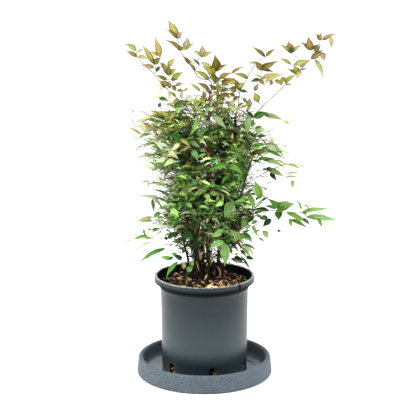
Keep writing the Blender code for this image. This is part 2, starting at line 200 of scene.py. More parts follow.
floor_mesh = bpy.data.meshes.new("floor")
floor_corners = [(x * FLOOR_SIDE / 2, y * FLOOR_SIDE / 2, FLOOR_Z)
                 for x, y in ((-1, -1), (1, -1), (1, 1), (-1, 1))]
floor_mesh.from_pydata(floor_corners, [], [(0, 1, 2, 3)])
floor = bpy.data.objects.new("floor", floor_mesh)
bpy.context.scene.collection.objects.link(floor)
white_paper = surface("white_studio_paper", Base_Color=(0.97, 0.97, 0.97, 1.0), Roughness=0.9)[0]
floor_mesh.materials.append(white_paper)

world = bpy.data.worlds.new("white_sky")
bpy.context.scene.world = world
world.use_nodes = True
sky = world.node_tree.nodes["Background"]
sky_way = add(world.node_tree, "ShaderNodeTexCoord").outputs["Generated"]
sky_depth = add(world.node_tree, "ShaderNodeSeparateXYZ", {"Vector": sky_way}).outputs["Y"]
sky_light = add(world.node_tree, "ShaderNodeMapRange", {
    "Value": sky_depth, "From Min": -0.75, "From Max": -0.15, "To Min": SKY_DIM, "To Max": SKY_BRIGHT})
world.node_tree.links.new(sky_light.outputs["Result"], sky.inputs["Strength"])
sky.inputs["Color"].default_value = (1.0, 1.0, 1.0, 1.0)

for name, (place, side, watts) in PANELS.items():
    panel = bpy.data.objects.new(name, bpy.data.lights.new(name, "AREA"))
    panel.data.shape = "SQUARE"
    panel.data.size = side
    panel.data.energy = watts
    panel.location = place
    look = AIM - np.array(place)
    panel.rotation_euler = (math.acos(-look[2] / np.linalg.norm(look)), 0.0, math.atan2(-look[0], look[1]))
    bpy.context.scene.collection.objects.link(panel)
bpy.context.scene.view_settings.view_transform = "Standard"
print("panels", len(PANELS))

# %% [markdown]
# Meshes from arrays.
# A shape here is a grid of points worked out for all its rows and columns at once. The helpers number the
# four-sided faces of many equal grids in one step, and put points, faces and face materials into a mesh.

# %% Mesh helpers


def unit(vectors):
    """Vectors scaled to length 1, along the last axis."""
    vectors = np.asarray(vectors, float)
    return vectors / np.maximum(np.linalg.norm(vectors, axis=-1, keepdims=True), 1e-12)


def grid_faces(rows, columns, wrap):
    """Corner numbers of a grid's quads, row by row. With wrap, the last column joins the first."""
    row, column = np.meshgrid(np.arange(rows - 1), np.arange(columns if wrap else columns - 1), indexing="ij")
    after = (column + 1) % columns
    start = row * columns
    corners = (start + column, start + after, start + columns + after, start + columns + column)
    return np.stack(corners, axis=-1).reshape(-1, 4)


def repeated(faces, count, points_each):
    """The same faces for each of count equal grids, one after the other."""
    return (faces[None] + np.arange(count)[:, None, None] * points_each).reshape(-1, faces.shape[1])


def make_piece(name, points, faces, materials, face_materials=None):
    """A smooth mesh object at the origin from points (n, 3) and quads (m, 4)."""
    mesh = bpy.data.meshes.new(name)
    points = np.asarray(points, np.float32).reshape(-1, 3)
    mesh.vertices.add(len(points))
    mesh.vertices.foreach_set("co", points.ravel())
    mesh.loops.add(faces.size)
    mesh.loops.foreach_set("vertex_index", np.asarray(faces, np.int32).ravel())
    mesh.polygons.add(len(faces))
    mesh.polygons.foreach_set("loop_start", np.arange(0, faces.size, faces.shape[1], dtype=np.int32))
    for material in materials:
        mesh.materials.append(material)
    if face_materials is not None:
        mesh.polygons.foreach_set("material_index", np.asarray(face_materials, np.int32))
    mesh.update(calc_edges=True)
    mesh.shade_smooth()
    piece = bpy.data.objects.new(name, mesh)
    bpy.context.scene.collection.objects.link(piece)
    return piece


def weld(piece, distance=0.00001):
    """Close seams and poles, turn every face outwards and keep real corners sharp."""
    shape = bmesh.new()
    shape.from_mesh(piece.data)
    bmesh.ops.remove_doubles(shape, verts=shape.verts, dist=distance)
    bmesh.ops.recalc_face_normals(shape, faces=shape.faces)
    shape.to_mesh(piece.data)
    shape.free()
    piece.data.set_sharp_from_angle(angle=math.radians(35))


def finish_piece(piece, slot, *nodes):
    """Ride on the plant's body and stand for the nodes. The slot is not used."""
    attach(piece, "root")
    if nodes:
        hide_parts(*nodes)
    print(piece.name, len(piece.data.polygons), "faces")


# %% [markdown]
# Waves and turned shapes.
# Soil and bark need an uneven surface that is the same on every run. A sum of a few sine waves with seeded
# directions does that for whole arrays. Turned profiles of arcs and straight stretches give the vessels.

# %% Waves


def waves(places, wavelength, seed, count=7):
    """Smooth noise from -1 to 1 at places (..., 3): the mean of sine waves in seeded directions."""
    rng = np.random.default_rng(seed)
    ways = unit(rng.normal(size=(count, 3))) * 2.0 * math.pi / wavelength * rng.uniform(0.7, 1.4, (count, 1))
    phases = rng.uniform(0.0, 2.0 * math.pi, count)
    return np.sin(np.asarray(places) @ ways.T + phases).mean(axis=-1) * 1.9


def turned(profile, angles):
    """Points and quads of a profile of (radius, height) carried round Z through the angles."""
    radius, height = np.asarray(profile).T
    points = np.stack([radius[:, None] * np.cos(angles), radius[:, None] * np.sin(angles),
                       np.repeat(height[:, None], len(angles), axis=1)], axis=-1)
    return points, grid_faces(len(radius), len(angles), True)


def arc(middle, radius, start, stop, spans):
    """Points of a circular arc in a profile, in degrees from the outward direction."""
    turn = np.radians(np.linspace(start, stop, spans + 1))
    return [(middle[0] + radius * math.cos(step), middle[1] + radius * math.sin(step)) for step in turn]


def ramp(start, stop, spans):
    """Evenly spaced points of a straight stretch of a profile, without its last point."""
    share = np.arange(spans)[:, None] / spans
    return [tuple(row) for row in np.asarray(start) * (1.0 - share) + np.asarray(stop) * share]


# %% [markdown]
# The saucer.
# It is a deep plant saucer, injection moulded in recycled polypropylene: a thick wall with a round lip and a
# flat floor. The frame's saucer is coarse, so a finer turned profile takes its place.

# %% Saucer shape
ROUND_STEPS = 160
saucer_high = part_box("saucer")[1]
SAUCER_FOOT_RADIUS = saucer_high.x
SAUCER_LIP_RADIUS = SAUCER_FOOT_RADIUS - 0.004
SAUCER_HEIGHT = saucer_high.z
SAUCER_FLOOR = 0.0045
SAUCER_WALL = 0.0155
SAUCER_INNER_FLOOR = 0.181
SAUCER_FOOT_ROUND = 0.008

lip_round = SAUCER_WALL / 2
around = np.linspace(0.0, 2.0 * math.pi, ROUND_STEPS, endpoint=False)
saucer_profile = ramp((0.0, SAUCER_FLOOR), (SAUCER_INNER_FLOOR - 0.006, SAUCER_FLOOR), 6)
saucer_profile += arc((SAUCER_INNER_FLOOR - 0.006, SAUCER_FLOOR + 0.006), 0.006, -90, 0, 4)
saucer_profile += arc((SAUCER_LIP_RADIUS - lip_round, SAUCER_HEIGHT - lip_round), lip_round, 180, 0, 14)
foot_place = (SAUCER_FOOT_RADIUS - SAUCER_FOOT_ROUND, SAUCER_FOOT_ROUND)
saucer_profile += arc(foot_place, SAUCER_FOOT_ROUND, 0, -90, 5)
saucer_profile.append((0.0, 0.0))
saucer_points, saucer_faces = turned(saucer_profile, around)

# %% [markdown]
# Recycled polypropylene.
# The regrind leaves fine pale and dark specks in a blue-grey mass, and the mould is blasted, so the skin is
# matt. The floor inside the wall is painted paler, as painted light where the pot and the wall shade it.

# %% Saucer finish
SPECK_MM = 3.0
CLOUD_MM = 45.0
PAINTED_LIGHT_DEPTH = 0.020

saucer_plastic, tree, shader = surface("blasted_recycled_polypropylene", Roughness=0.66, IOR=1.49,
                                       Specular_IOR_Level=0.32)
place, height, radius = place_outputs(tree)
speck, cloud = [
    add(tree, "ShaderNodeTexNoise", {"Vector": place, "Scale": per_metre(gap), "Detail": fine}).outputs["Fac"]
    for gap, fine in ((SPECK_MM, 2.0), (CLOUD_MM, 3.0))]
low = add(tree, "ShaderNodeMapRange", {"Value": height, "From Min": SAUCER_FLOOR + PAINTED_LIGHT_DEPTH,
                                       "From Max": SAUCER_FLOOR}).outputs["Result"]
indoors = add(tree, "ShaderNodeMapRange", {"Value": radius, "From Min": SAUCER_INNER_FLOOR + 0.006,
                                           "From Max": SAUCER_INNER_FLOOR + 0.002}).outputs["Result"]
# Painted light: the floor inside the wall is made paler where the pot and the wall shade it.
painted_floor_light = add(tree, "ShaderNodeMath", {0: low, 1: indoors}, operation="MULTIPLY").outputs["Value"]
colour = ramp_tones(tree, speck, ((0.34, "#1d272f"), (0.66, "#626e77")))
for share, code in ((cloud, "#3b464e"), (painted_floor_light, "#7c868c")):
    colour = add(tree, "ShaderNodeMix", {0: share, 6: colour, 7: linear(code)}, data_type="RGBA").outputs[2]
tree.links.new(colour, shader.inputs["Base Color"])
grain = add(tree, "ShaderNodeBump", {"Height": speck, "Strength": 0.5, "Distance": 0.0010})
tree.links.new(grain.outputs["Normal"], shader.inputs["Normal"])

saucer = make_piece("saucer_moulded", saucer_points, saucer_faces, [saucer_plastic])
weld(saucer)
finish_piece(saucer, "saucer_plastic", "saucer")

# %% [markdown]
# The pot.
# It is a blow moulded nursery pot in grey polyethylene: a rolled lip, a flared neck under it, a wall that
# hardly tapers and arched drain slots cut through the foot. A turned profile gives the body, and arched
# blocks cut the slots. The lip has a split at the right, and a mould seam runs down the wall below it.

# %% Pot shape
pot_low, pot_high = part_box("pot")
POT_FOOT_Z = pot_low.z
POT_RIM_Z = pot_high.z
POT_LIP_RADIUS = pot_high.x
POT_MOUTH_RADIUS = 0.1407
POT_BODY_RADIUS = 0.131
POT_BASE_RADIUS = 0.128
POT_WALL = 0.003
POT_FOOT_ROUND = 0.006
LIP_DEPTH = 0.017
NECK_DEPTH = 0.038
SEAM_ANGLE = math.radians(-46.5)
SEAM_HALF_WIDTH = 0.0012
SEAM_PROUD = 0.0005
SPLIT_DEPTH = 0.020
SLOT_ANGLES = [math.radians(-79 + 60 * number) for number in range(6)]
SLOT_WIDTH = 0.024
SLOT_TOP_Z = 0.054
SLOT_INNER = 0.114
SLOT_OUTER = 0.138

seam_steps = SEAM_ANGLE + np.array([-2.0, -1.0, 0.0, 1.0, 2.0]) * SEAM_HALF_WIDTH / POT_BODY_RADIUS
pot_around = np.sort(np.concatenate([around[np.abs(np.angle(np.exp(1j * (around - SEAM_ANGLE)))) > 0.03],
                                     np.mod(seam_steps, 2.0 * math.pi)]))
rim_round = (POT_LIP_RADIUS - POT_MOUTH_RADIUS) / 2
rim_middle = (POT_MOUTH_RADIUS + rim_round, POT_RIM_Z - rim_round)
foot_middle = (POT_BASE_RADIUS - POT_FOOT_ROUND, POT_FOOT_Z + POT_FOOT_ROUND)
inner_foot = (POT_BASE_RADIUS - POT_WALL, POT_FOOT_Z + POT_WALL)
inner_neck = (POT_BODY_RADIUS - POT_WALL + 0.0015, POT_RIM_Z - NECK_DEPTH + 0.002)
inner_lip = (POT_MOUTH_RADIUS - 0.001, POT_RIM_Z - LIP_DEPTH)
outer_neck = (POT_BODY_RADIUS, POT_RIM_Z - NECK_DEPTH - 0.006)
pot_profile = [(0.0, POT_FOOT_Z + POT_WALL)]
pot_profile += ramp(inner_foot, inner_neck, 10)
pot_profile += ramp(inner_neck, inner_lip, 3)
pot_profile += [inner_lip]
pot_profile += arc(rim_middle, rim_round, 180, 0, 12)
pot_profile += [
    (POT_LIP_RADIUS - 0.0001, POT_RIM_Z - LIP_DEPTH * 0.6),
    (POT_LIP_RADIUS - 0.0005, POT_RIM_Z - LIP_DEPTH),
    (POT_LIP_RADIUS - 0.0025, POT_RIM_Z - LIP_DEPTH - 0.0022),
    (POT_LIP_RADIUS - 0.0062, POT_RIM_Z - LIP_DEPTH - 0.0036),
    (POT_BODY_RADIUS + 0.0072, POT_RIM_Z - NECK_DEPTH + 0.0105),
    (POT_BODY_RADIUS + 0.0032, POT_RIM_Z - NECK_DEPTH + 0.004),
    (POT_BODY_RADIUS + 0.0010, POT_RIM_Z - NECK_DEPTH - 0.001),
]
pot_profile += ramp(outer_neck, (POT_BASE_RADIUS, foot_middle[1]), 12)
pot_profile += arc(foot_middle, POT_FOOT_ROUND, 0, -90, 5)
pot_profile.append((0.0, POT_FOOT_Z))
pot_points, pot_faces = turned(pot_profile, pot_around)
on_wall = (pot_points[..., 2] < outer_neck[1] + 0.001) & (pot_points[..., 2] > foot_middle[1])
on_wall &= np.hypot(pot_points[..., 0], pot_points[..., 1]) > POT_BASE_RADIUS - 0.001
from_seam = np.angle(np.exp(1j * (pot_around - SEAM_ANGLE))) * POT_BODY_RADIUS
ridge = SEAM_PROUD * np.clip(1.0 - np.abs(from_seam) / SEAM_HALF_WIDTH, 0.0, 1.0)
pot_points[..., :2] *= 1.0 + (on_wall * ridge / POT_BODY_RADIUS)[..., None]

# %% [markdown]
# Cut through the plastic.
# Each slot and the split is a block taken away from the closed wall, so its edges are real ones.

# %% Cutters


def block(outline, inner, outer, angle):
    """A block whose outline of (across, up) faces along a heading, from the inner to the outer radius."""
    outline = np.asarray(outline)
    out = np.array([math.cos(angle), math.sin(angle), 0.0])
    across = np.array([-math.sin(angle), math.cos(angle), 0.0])
    flat = outline[:, :1] * across + outline[:, 1:] * UP
    points = np.concatenate([flat + out * inner, flat + out * outer])
    ring = np.arange(len(outline))
    after = np.roll(ring, -1)
    sides = np.stack([ring, after, after + len(ring), ring + len(ring)], axis=1)
    mesh = bpy.data.meshes.new("cutter")
    mesh.from_pydata(points.tolist(), [], [ring[::-1].tolist(), (ring + len(ring)).tolist()] + sides.tolist())
    cutter = bpy.data.objects.new("cutter", mesh)
    bpy.context.scene.collection.objects.link(cutter)
    weld(cutter)
    return cutter


def carve(piece, cutters):
    """Take the cutters away from a closed piece, and remove them."""
    for cutter in cutters:
        boolean = piece.modifiers.new("cut", "BOOLEAN")
        boolean.operation = "DIFFERENCE"
        boolean.solver = "EXACT"
        boolean.object = cutter
    bpy.context.view_layer.update()
    evaluated = piece.evaluated_get(bpy.context.evaluated_depsgraph_get())
    carved = bpy.data.meshes.new_from_object(evaluated)
    piece.modifiers.clear()
    piece.data = carved
    for cutter in cutters:
        bpy.data.objects.remove(cutter, do_unlink=True)


slot_half = SLOT_WIDTH / 2
arch = arc((0.0, SLOT_TOP_Z - slot_half), slot_half, 180, 0, 12) + [(slot_half, 0.0), (-slot_half, 0.0)]
slot_cutters = [block(arch, SLOT_INNER, SLOT_OUTER, angle) for angle in SLOT_ANGLES]
split = [(0.0006, POT_RIM_Z - SPLIT_DEPTH), (0.0040, POT_RIM_Z - SPLIT_DEPTH), (0.0034, POT_RIM_Z + 0.01),
         (-0.0034, POT_RIM_Z + 0.01)]
slot_cutters.append(block(split, POT_MOUTH_RADIUS - 0.004, POT_LIP_RADIUS + 0.01, SEAM_ANGLE))

# %% [markdown]
# Grey polyethylene.
# Blow moulded polyethylene has a waxy satin skin. Handling rubs the lip pale, and its top edge also carries a
# painted highlight. Water and compost leave a mottled film. The lower wall is painted lighter, less so at the
# foot, as painted light, and the inside of the mouth, the neck under the lip and the split are painted dark
# and dull as painted shade. There is a smear of mix beside the left slot. Each is a mask worked out from the
# place on the pot.

# %% Pot finish
SCUFF_MM = 7.0
FILM_MM = 60.0
SCRATCH_MM = 3.0
STAIN_PLACE = (-0.105, -0.088, 0.030)
STAIN_RADIUS = 0.040
SPLIT_PLACE = (POT_LIP_RADIUS * math.cos(SEAM_ANGLE), POT_LIP_RADIUS * math.sin(SEAM_ANGLE),
               POT_RIM_Z - 0.010)
SPLIT_RADIUS = 0.010
NECK_Z = POT_RIM_Z - NECK_DEPTH
LIP_Z = POT_RIM_Z - LIP_DEPTH

pot_plastic, tree, shader = surface("blow_moulded_grey_polyethylene", IOR=1.51,
                                    Specular_Tint=(0.83, 0.93, 0.98, 1.0))
place, height, radius = place_outputs(tree)
long_place = add(tree, "ShaderNodeMapping", {"Vector": place, "Scale": (1.0, 1.0, 0.12)}).outputs["Vector"]
film, scuff, scratch = [
    add(tree, "ShaderNodeTexNoise", {"Vector": at, "Scale": per_metre(gap), "Detail": fine}).outputs["Fac"]
    for at, gap, fine in ((place, FILM_MM, 4.0), (place, SCUFF_MM, 4.0), (long_place, SCRATCH_MM, 3.0))]
stain_gap, split_gap = [
    add(tree, "ShaderNodeVectorMath", {0: place, 1: spot}, operation="DISTANCE").outputs["Value"]
    for spot in (STAIN_PLACE, SPLIT_PLACE)]

# Each span is a value, where its mask starts and ends, and the mask there, if that isn't 0 and 1.
SPAN_SOCKETS = ("Value", "From Min", "From Max", "To Min", "To Max")
spans = {
    # Painted light: lower_wall and above_foot make the lower wall paler, less so at the foot.
    "lower_wall": (height, 0.22, 0.09, 0.0, 0.75),
    "above_foot": (height, 0.080, 0.112, 0.30, 1.0),
    # Painted shade: inside, above_body, neck_top and split darken the inside of the mouth, the neck under the
    # lip and the split.
    "inside": (radius, POT_MOUTH_RADIUS + 0.0016, POT_MOUTH_RADIUS + 0.0004),
    "above_body": (height, NECK_Z + 0.001, NECK_Z + 0.010),
    "neck_top": (height, LIP_Z + 0.010, LIP_Z - 0.001),
    "split": (split_gap, SPLIT_RADIUS, SPLIT_RADIUS / 2, 0.0, 0.8),
    "on_lip": (height, LIP_Z, LIP_Z + 0.002),
    # lip_top and rubbed make the lip's top edge pale: wear, and a painted highlight.
    "lip_top": (height, POT_RIM_Z - 0.0026, POT_RIM_Z - 0.0004),
    "rubbed": (scuff, 0.30, 0.62),
    "stain_spot": (stain_gap, STAIN_RADIUS, 0.010),
    "sheen": (scratch, 0.0, 1.0, 0.27, 0.50),
    "gloss": (height, 0.12, 0.26, 0.44, 0.30),
}
mask = {name: add(tree, "ShaderNodeMapRange", dict(zip(SPAN_SOCKETS, span))).outputs["Result"]
        for name, span in spans.items()}
for name, first, second, operation in (
        ("painted_wall_light", "lower_wall", "above_foot", "MINIMUM"),
        ("inner_lip", "inside", "above_body", "MULTIPLY"),
        ("neck", "neck_top", "above_body", "MULTIPLY"),
        ("hollows", "inner_lip", "neck", "MAXIMUM"),
        ("painted_shade", "hollows", "split", "MAXIMUM"),
        ("lip_wear_and_highlight", "lip_top", "rubbed", "MULTIPLY"),
        ("stain", "stain_spot", "rubbed", "MULTIPLY")):
    both = add(tree, "ShaderNodeMath", {0: mask[first], 1: mask[second]}, operation=operation)
    mask[name] = both.outputs["Value"]

# Painted light on the lower wall, painted shade in the hollows and the split, and a top edge that is worn
# pale and painted as a highlight.
colour = linear("#091117")
for share, code in ((film, "#101a1f"), (mask["painted_wall_light"], "#253237"), (mask["on_lip"], "#1c2223"),
                    (mask["painted_shade"], "#0a0c0d"), (mask["lip_wear_and_highlight"], "#a3a6a1"), (mask["stain"], "#4a4128")):
    colour = add(tree, "ShaderNodeMix", {0: share, 6: colour, 7: linear(code)}, data_type="RGBA").outputs[2]
tree.links.new(colour, shader.inputs["Base Color"])
# Painted shade is rougher and less glossy too.
for socket, clean, in_shade in (("Roughness", "sheen", 0.85), ("Specular IOR Level", "gloss", 0.06)):
    level = add(tree, "ShaderNodeMix", {0: mask["painted_shade"], 2: mask[clean], 3: in_shade})
    tree.links.new(level.outputs[0], shader.inputs[socket])
dents = add(tree, "ShaderNodeBump", {"Height": film, "Strength": 0.35, "Distance": 0.004}).outputs["Normal"]
rub = add(tree, "ShaderNodeBump", {"Height": scratch, "Strength": 0.20, "Distance": 0.0005, "Normal": dents})
tree.links.new(rub.outputs["Normal"], shader.inputs["Normal"])

pot = make_piece("pot_moulded", pot_points, pot_faces, [pot_plastic])
weld(pot)
carve(pot, slot_cutters)
pot.data.set_sharp_from_angle(angle=math.radians(35))
finish_piece(pot, "pot_plastic", "pot")

# %% [markdown]
# The potting mix.
# A root ball is composted bark and peat, held by roots. It shows at the top and through the drain slots. Its
# surface is a turned body whose points are pushed up and down by waves of two sizes, and it rises a little
# round the canes.

# %% Mix
MIX_TOP_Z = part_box("potting_mix")[1].z
MIX_SIDE_GAP = 0.0003
CLUMP = np.array([0.010, 0.015, 0.0])
MOUND_HEIGHT = 0.013
MOUND_RADIUS = 0.060
LUMP_HEIGHT = 0.0022
CRUMB_MM = 6.0
PLANT_GLOSS = 0.18

edge_share = (MIX_TOP_Z - inner_neck[1]) / (inner_lip[1] - inner_neck[1])
edge_radius = inner_neck[0] + (inner_lip[0] - inner_neck[0]) * edge_share - MIX_SIDE_GAP


def mix_height(x, y):
    """Height of the mix at a place: flat, a mound at the canes, and lumps that fade at the pot's wall."""
    spot = np.stack([x, y, np.zeros_like(x)], axis=-1)
    from_clump = np.linalg.norm(spot - CLUMP, axis=-1)
    lumps = waves(spot, 0.030, 11) * 0.6 + waves(spot, 0.011, 12) * 0.5
    fade = np.clip((edge_radius - np.hypot(x, y)) / 0.012, 0.0, 1.0)
    return MIX_TOP_Z + MOUND_HEIGHT * np.exp(-(from_clump / MOUND_RADIUS) ** 2) + lumps * LUMP_HEIGHT * fade


mix_profile = ramp((0.0, MIX_TOP_Z), (edge_radius, MIX_TOP_Z), 34)
mix_profile += [(edge_radius, MIX_TOP_Z), (inner_neck[0] - MIX_SIDE_GAP, inner_neck[1])]
foot_side = inner_foot[0] - MIX_SIDE_GAP
mix_profile += ramp((foot_side + 0.0015, 0.08), (foot_side, inner_foot[1] + 0.001), 12)
mix_profile += [(foot_side, inner_foot[1] + MIX_SIDE_GAP), (0.0, inner_foot[1] + MIX_SIDE_GAP)]
mix_points, mix_faces = turned(mix_profile, around)
on_top = mix_points[..., 2] > MIX_TOP_Z - 0.0001
mix_points[..., 2] = np.where(on_top, mix_height(mix_points[..., 0], mix_points[..., 1]), mix_points[..., 2])
low_side = (mix_points[..., 2] < 0.07) & (np.hypot(mix_points[..., 0], mix_points[..., 1]) > 0.11)
sink = low_side * (0.006 + 0.003 * waves(mix_points, 0.012, 13))
mix_points[..., :2] *= (1.0 - sink / inner_foot[0])[..., None]

bark_mix, tree, shader = surface("moist_bark_mix", Roughness=0.93, Specular_IOR_Level=PLANT_GLOSS)
place = place_outputs(tree)[0]
crumb = add(tree, "ShaderNodeTexNoise", {"Vector": place, "Scale": per_metre(CRUMB_MM), "Detail": 8.0,
                                         "Roughness": 0.7}).outputs["Fac"]
crumb_tones = ((0.36, "#040302"), (0.52, "#120c07"), (0.66, "#36261a"), (0.80, "#8a6a45"))
tree.links.new(ramp_tones(tree, crumb, crumb_tones), shader.inputs["Base Color"])
crumb_bump = add(tree, "ShaderNodeBump", {"Height": crumb, "Strength": 1.0, "Distance": 0.003})
tree.links.new(crumb_bump.outputs["Normal"], shader.inputs["Normal"])

mix = make_piece("potting_mix_surface", mix_points, mix_faces, [bark_mix])
weld(mix)
finish_piece(mix, "potting_mix", "potting_mix")

# %% [markdown]
# Bark chips.
# The top is mulched with pine bark: flat chips of every size, dark where they are wet and tan where they are
# broken open. Each chip is a block with uneven corners. All are worked out at once, laid on the mix and
# tipped at random, with the pale ones mostly at the front, where the photograph shows them.

# %% Chips
CHIP_COUNT = 1500
CHIP_TONES = {"wet_bark": "#080603", "dark_bark": "#1e160c", "brown_bark": "#543a22",
              "orange_bark": "#a8774c", "tan_wood": "#d2a972", "pale_wood": "#e6ca98"}
SHOWN_WIDTH = 0.62
# The chips that the photograph shows best: picture place, length in millimetres and number of the tone.
SHOWN_CHIPS = """
196 282 18 4, 203 285 15 4, 213 277 16 4, 218 281 19 3, 222 283 12 4, 213 285 13 4, 225 273 13 4,
229 276 10 2, 239 272 12 3, 244 276 11 4, 234 282 12 4, 227 287 10 3, 180 284 9 2, 188 279 8 3,
207 282 11 5, 219 288 9 4, 199 280 9 3, 209 271 8 4, 215 272 9 3, 241 280 9 2, 185 287 10 3, 175 279 8 2,
221 277 16 5, 232 270 9 3, 225 284 15 4, 210 284 14 4, 236 275 13 3, 241 275 10 4, 199 285 12 5,
191 281 14 4, 238 279 12 4, 244 280 8 3, 216 284 13 3, 222 272 11 4, 187 283 12 4, 194 285 11 3,
229 281 9 3, 206 279 10 3
"""


def table(text):
    """The entries of a text, which commas part: each a list of its numbers and words."""
    entries = [entry.split() for entry in text.split(",") if entry.strip()]
    return [[float(word) if word[0] in "-.0123456789" else word for word in entry] for entry in entries]


def plain_finish(name, code, roughness):
    """A material of one colour for small things that come by the hundred."""
    return surface(name, Base_Color=linear(code), Roughness=roughness, Specular_IOR_Level=PLANT_GLOSS)[0]


rng = np.random.default_rng(21)
reach = edge_radius * 0.975 * np.sqrt(rng.uniform(0.0, 1.0, CHIP_COUNT))
turn = rng.uniform(0.0, 2.0 * math.pi, CHIP_COUNT)
chip_x = reach * np.cos(turn)
chip_y = reach * np.sin(turn)
front_share = np.clip((-chip_y - 0.01) / 0.06, 0.0, 1.0) * np.exp(-((chip_x - 0.025) / 0.070) ** 2)
chip_length = rng.gamma(2.6, 0.0030, CHIP_COUNT).clip(0.003, 0.022) * (1.0 + 0.7 * front_share)
chip_width = chip_length * rng.uniform(0.25, 0.65, CHIP_COUNT)
shown_chips = np.array(table(SHOWN_CHIPS))
shown_count = len(shown_chips)
shown_spots = np.array([at_height(across, down, MIX_TOP_Z) for across, down, _, _ in shown_chips])
chip_x[:shown_count] = shown_spots[:, 0]
chip_y[:shown_count] = shown_spots[:, 1]
chip_length[:shown_count] = shown_chips[:, 2] / 1000.0
chip_width[:shown_count] = chip_length[:shown_count] * SHOWN_WIDTH
chip_thick = rng.uniform(0.0008, 0.0026, CHIP_COUNT)
corner_signs = np.array([(-1, -1), (1, -1), (1, 1), (-1, 1)], float)
flat = corner_signs[None] * rng.uniform(0.55, 1.0, (CHIP_COUNT, 4, 2))
flat = flat * np.stack([chip_length, chip_width], axis=-1)[:, None] / 2.0
half_thick = np.repeat(chip_thick[:, None, None] / 2.0, 4, axis=1)
chips = np.concatenate([np.concatenate([flat, -half_thick], axis=-1),
                        np.concatenate([flat * 0.85, half_thick], axis=-1)], axis=1)
heading = rng.uniform(0.0, 2.0 * math.pi, CHIP_COUNT)
tip = rng.normal(0.0, 0.30, (CHIP_COUNT, 2))
long_way = unit(np.stack([np.cos(heading), np.sin(heading), tip[:, 0]], axis=-1))
face_lean = np.stack([tip[:, 1] * 0.6, tip[:, 0] * 0.3 - 0.4 * front_share, np.ones(CHIP_COUNT)], axis=-1)
cross_way = unit(np.cross(face_lean, long_way))
face_way = np.cross(long_way, cross_way)
chip_points = chips @ np.stack([long_way, cross_way, face_way], axis=1)
fade_down = (np.abs(tip[:, 0]) * 0.25 + 0.10 * front_share) * chip_length
chip_points += np.stack([chip_x, chip_y, mix_height(chip_x, chip_y) + 0.0012 + fade_down], axis=-1)[:, None]
block_faces = np.array([(0, 3, 2, 1), (4, 5, 6, 7), (0, 1, 5, 4), (1, 2, 6, 5), (2, 3, 7, 6), (3, 0, 4, 7)])
chip_tone = np.minimum(5, (rng.uniform(0.0, 1.0, CHIP_COUNT) ** (3.2 - 2.3 * front_share) * 6.0).astype(int))
chip_tone[:shown_count] = shown_chips[:, 3]
chip_piece = make_piece("bark_chips", chip_points, repeated(block_faces, CHIP_COUNT, 8),
                        [plain_finish(name, code, 0.85) for name, code in CHIP_TONES.items()],
                        np.repeat(chip_tone, 6))
chip_piece.data.shade_flat()
finish_piece(chip_piece, "potting_mix")

# %% [markdown]
# Round stalks.
# Canes, stalks and roots are all tubes: rings of points set square to a centre line, whose radius changes
# along it. One function makes hundreds of tubes of equal step count at once and closes their ends.

# %% Tubes


def smooth_line(line, steps):
    """A smooth curve through the line's points, as steps points evenly spaced along it."""
    line = np.asarray(line, float)
    if len(line) == 2:
        share = np.linspace(0.0, 1.0, steps)[:, None]
        return line[0] * (1.0 - share) + line[1] * share
    before = np.vstack([2.0 * line[0] - line[1], line, 2.0 * line[-1] - line[-2]])
    share = np.linspace(0.0, 1.0, 9)[:-1, None]
    spans = []
    for first, start, stop, last in zip(before, before[1:], before[2:], before[3:]):
        spans.append(0.5 * (2.0 * start + (stop - first) * share
                            + (2.0 * first - 5.0 * start + 4.0 * stop - last) * share ** 2
                            + (3.0 * start - first - 3.0 * stop + last) * share ** 3))
    fine = np.vstack(spans + [line[-1:]])
    reach = np.concatenate([[0.0], np.cumsum(np.linalg.norm(np.diff(fine, axis=0), axis=1))])
    wanted = np.linspace(0.0, reach[-1], steps)
    return np.stack([np.interp(wanted, reach, fine[:, axis]) for axis in range(3)], axis=-1)


def tubes(lines, radii, sides):
    """Closed tubes round lines (count, steps, 3), as points and quads. The sides are an even number.

    Each ring stands square to its line, on two cross directions that follow one fixed guide direction.
    """
    lines = np.asarray(lines, float)
    count, steps = lines.shape[:2]
    radii = np.asarray(radii, float)
    if radii.ndim == 2:
        radii = radii[..., None]
    tangents = unit(np.gradient(lines, axis=1))
    guide = np.eye(3)[np.argmin(np.abs(unit(tangents.mean(axis=1))), axis=1)][:, None]
    across = unit(guide - tangents * (guide * tangents).sum(axis=-1, keepdims=True))
    up = np.cross(tangents, across)
    turn = np.linspace(0.0, 2.0 * math.pi, sides, endpoint=False)
    ring = across[:, :, None] * np.cos(turn)[:, None] + up[:, :, None] * np.sin(turn)[:, None]
    points = lines[:, :, None] + ring * radii[..., None]
    step = np.arange(sides // 2 - 1)
    cap = np.stack([step, step + 1, sides - 2 - step, sides - 1 - step], axis=1)
    faces = np.concatenate([grid_faces(steps, sides, True), cap[:, ::-1], cap + (steps - 1) * sides])
    return points.reshape(-1, 3), repeated(faces, count, steps * sides)


# %% [markdown]
# The canes.
# Heavenly bamboo is no bamboo. It sends up unbranched woody canes from one crown, with thin fissured bark
# and a ring at each old leaf base. Each cane follows the frame's line: a lean that grows with height. The
# bark's ridges are a change of radius round the cane.

# %% Cane lines
CANE_FOOT_Z = MIX_TOP_Z - 0.012
CANE_LEAN_POWER = 1.3
CANES = {
    "left": (180, 0.029, 0.042, 0.790, 0.0120),
    "right": (4, 0.028, 0.086, 0.800, 0.0115),
    "far_right": (-22, 0.045, 0.150, 0.700, 0.0095),
    "middle": (70, 0.006, 0.016, 0.860, 0.0105),
    "back": (92, 0.036, 0.085, 0.770, 0.0100),
    "back_left": (136, 0.040, 0.110, 0.680, 0.0095),
    "back_right": (48, 0.040, 0.115, 0.600, 0.0095),
    "front": (-92, 0.034, 0.075, 0.720, 0.0100),
    "front_left": (-140, 0.040, 0.105, 0.580, 0.0090),
    "low_left": (163, 0.050, 0.115, 0.510, 0.0085),
}


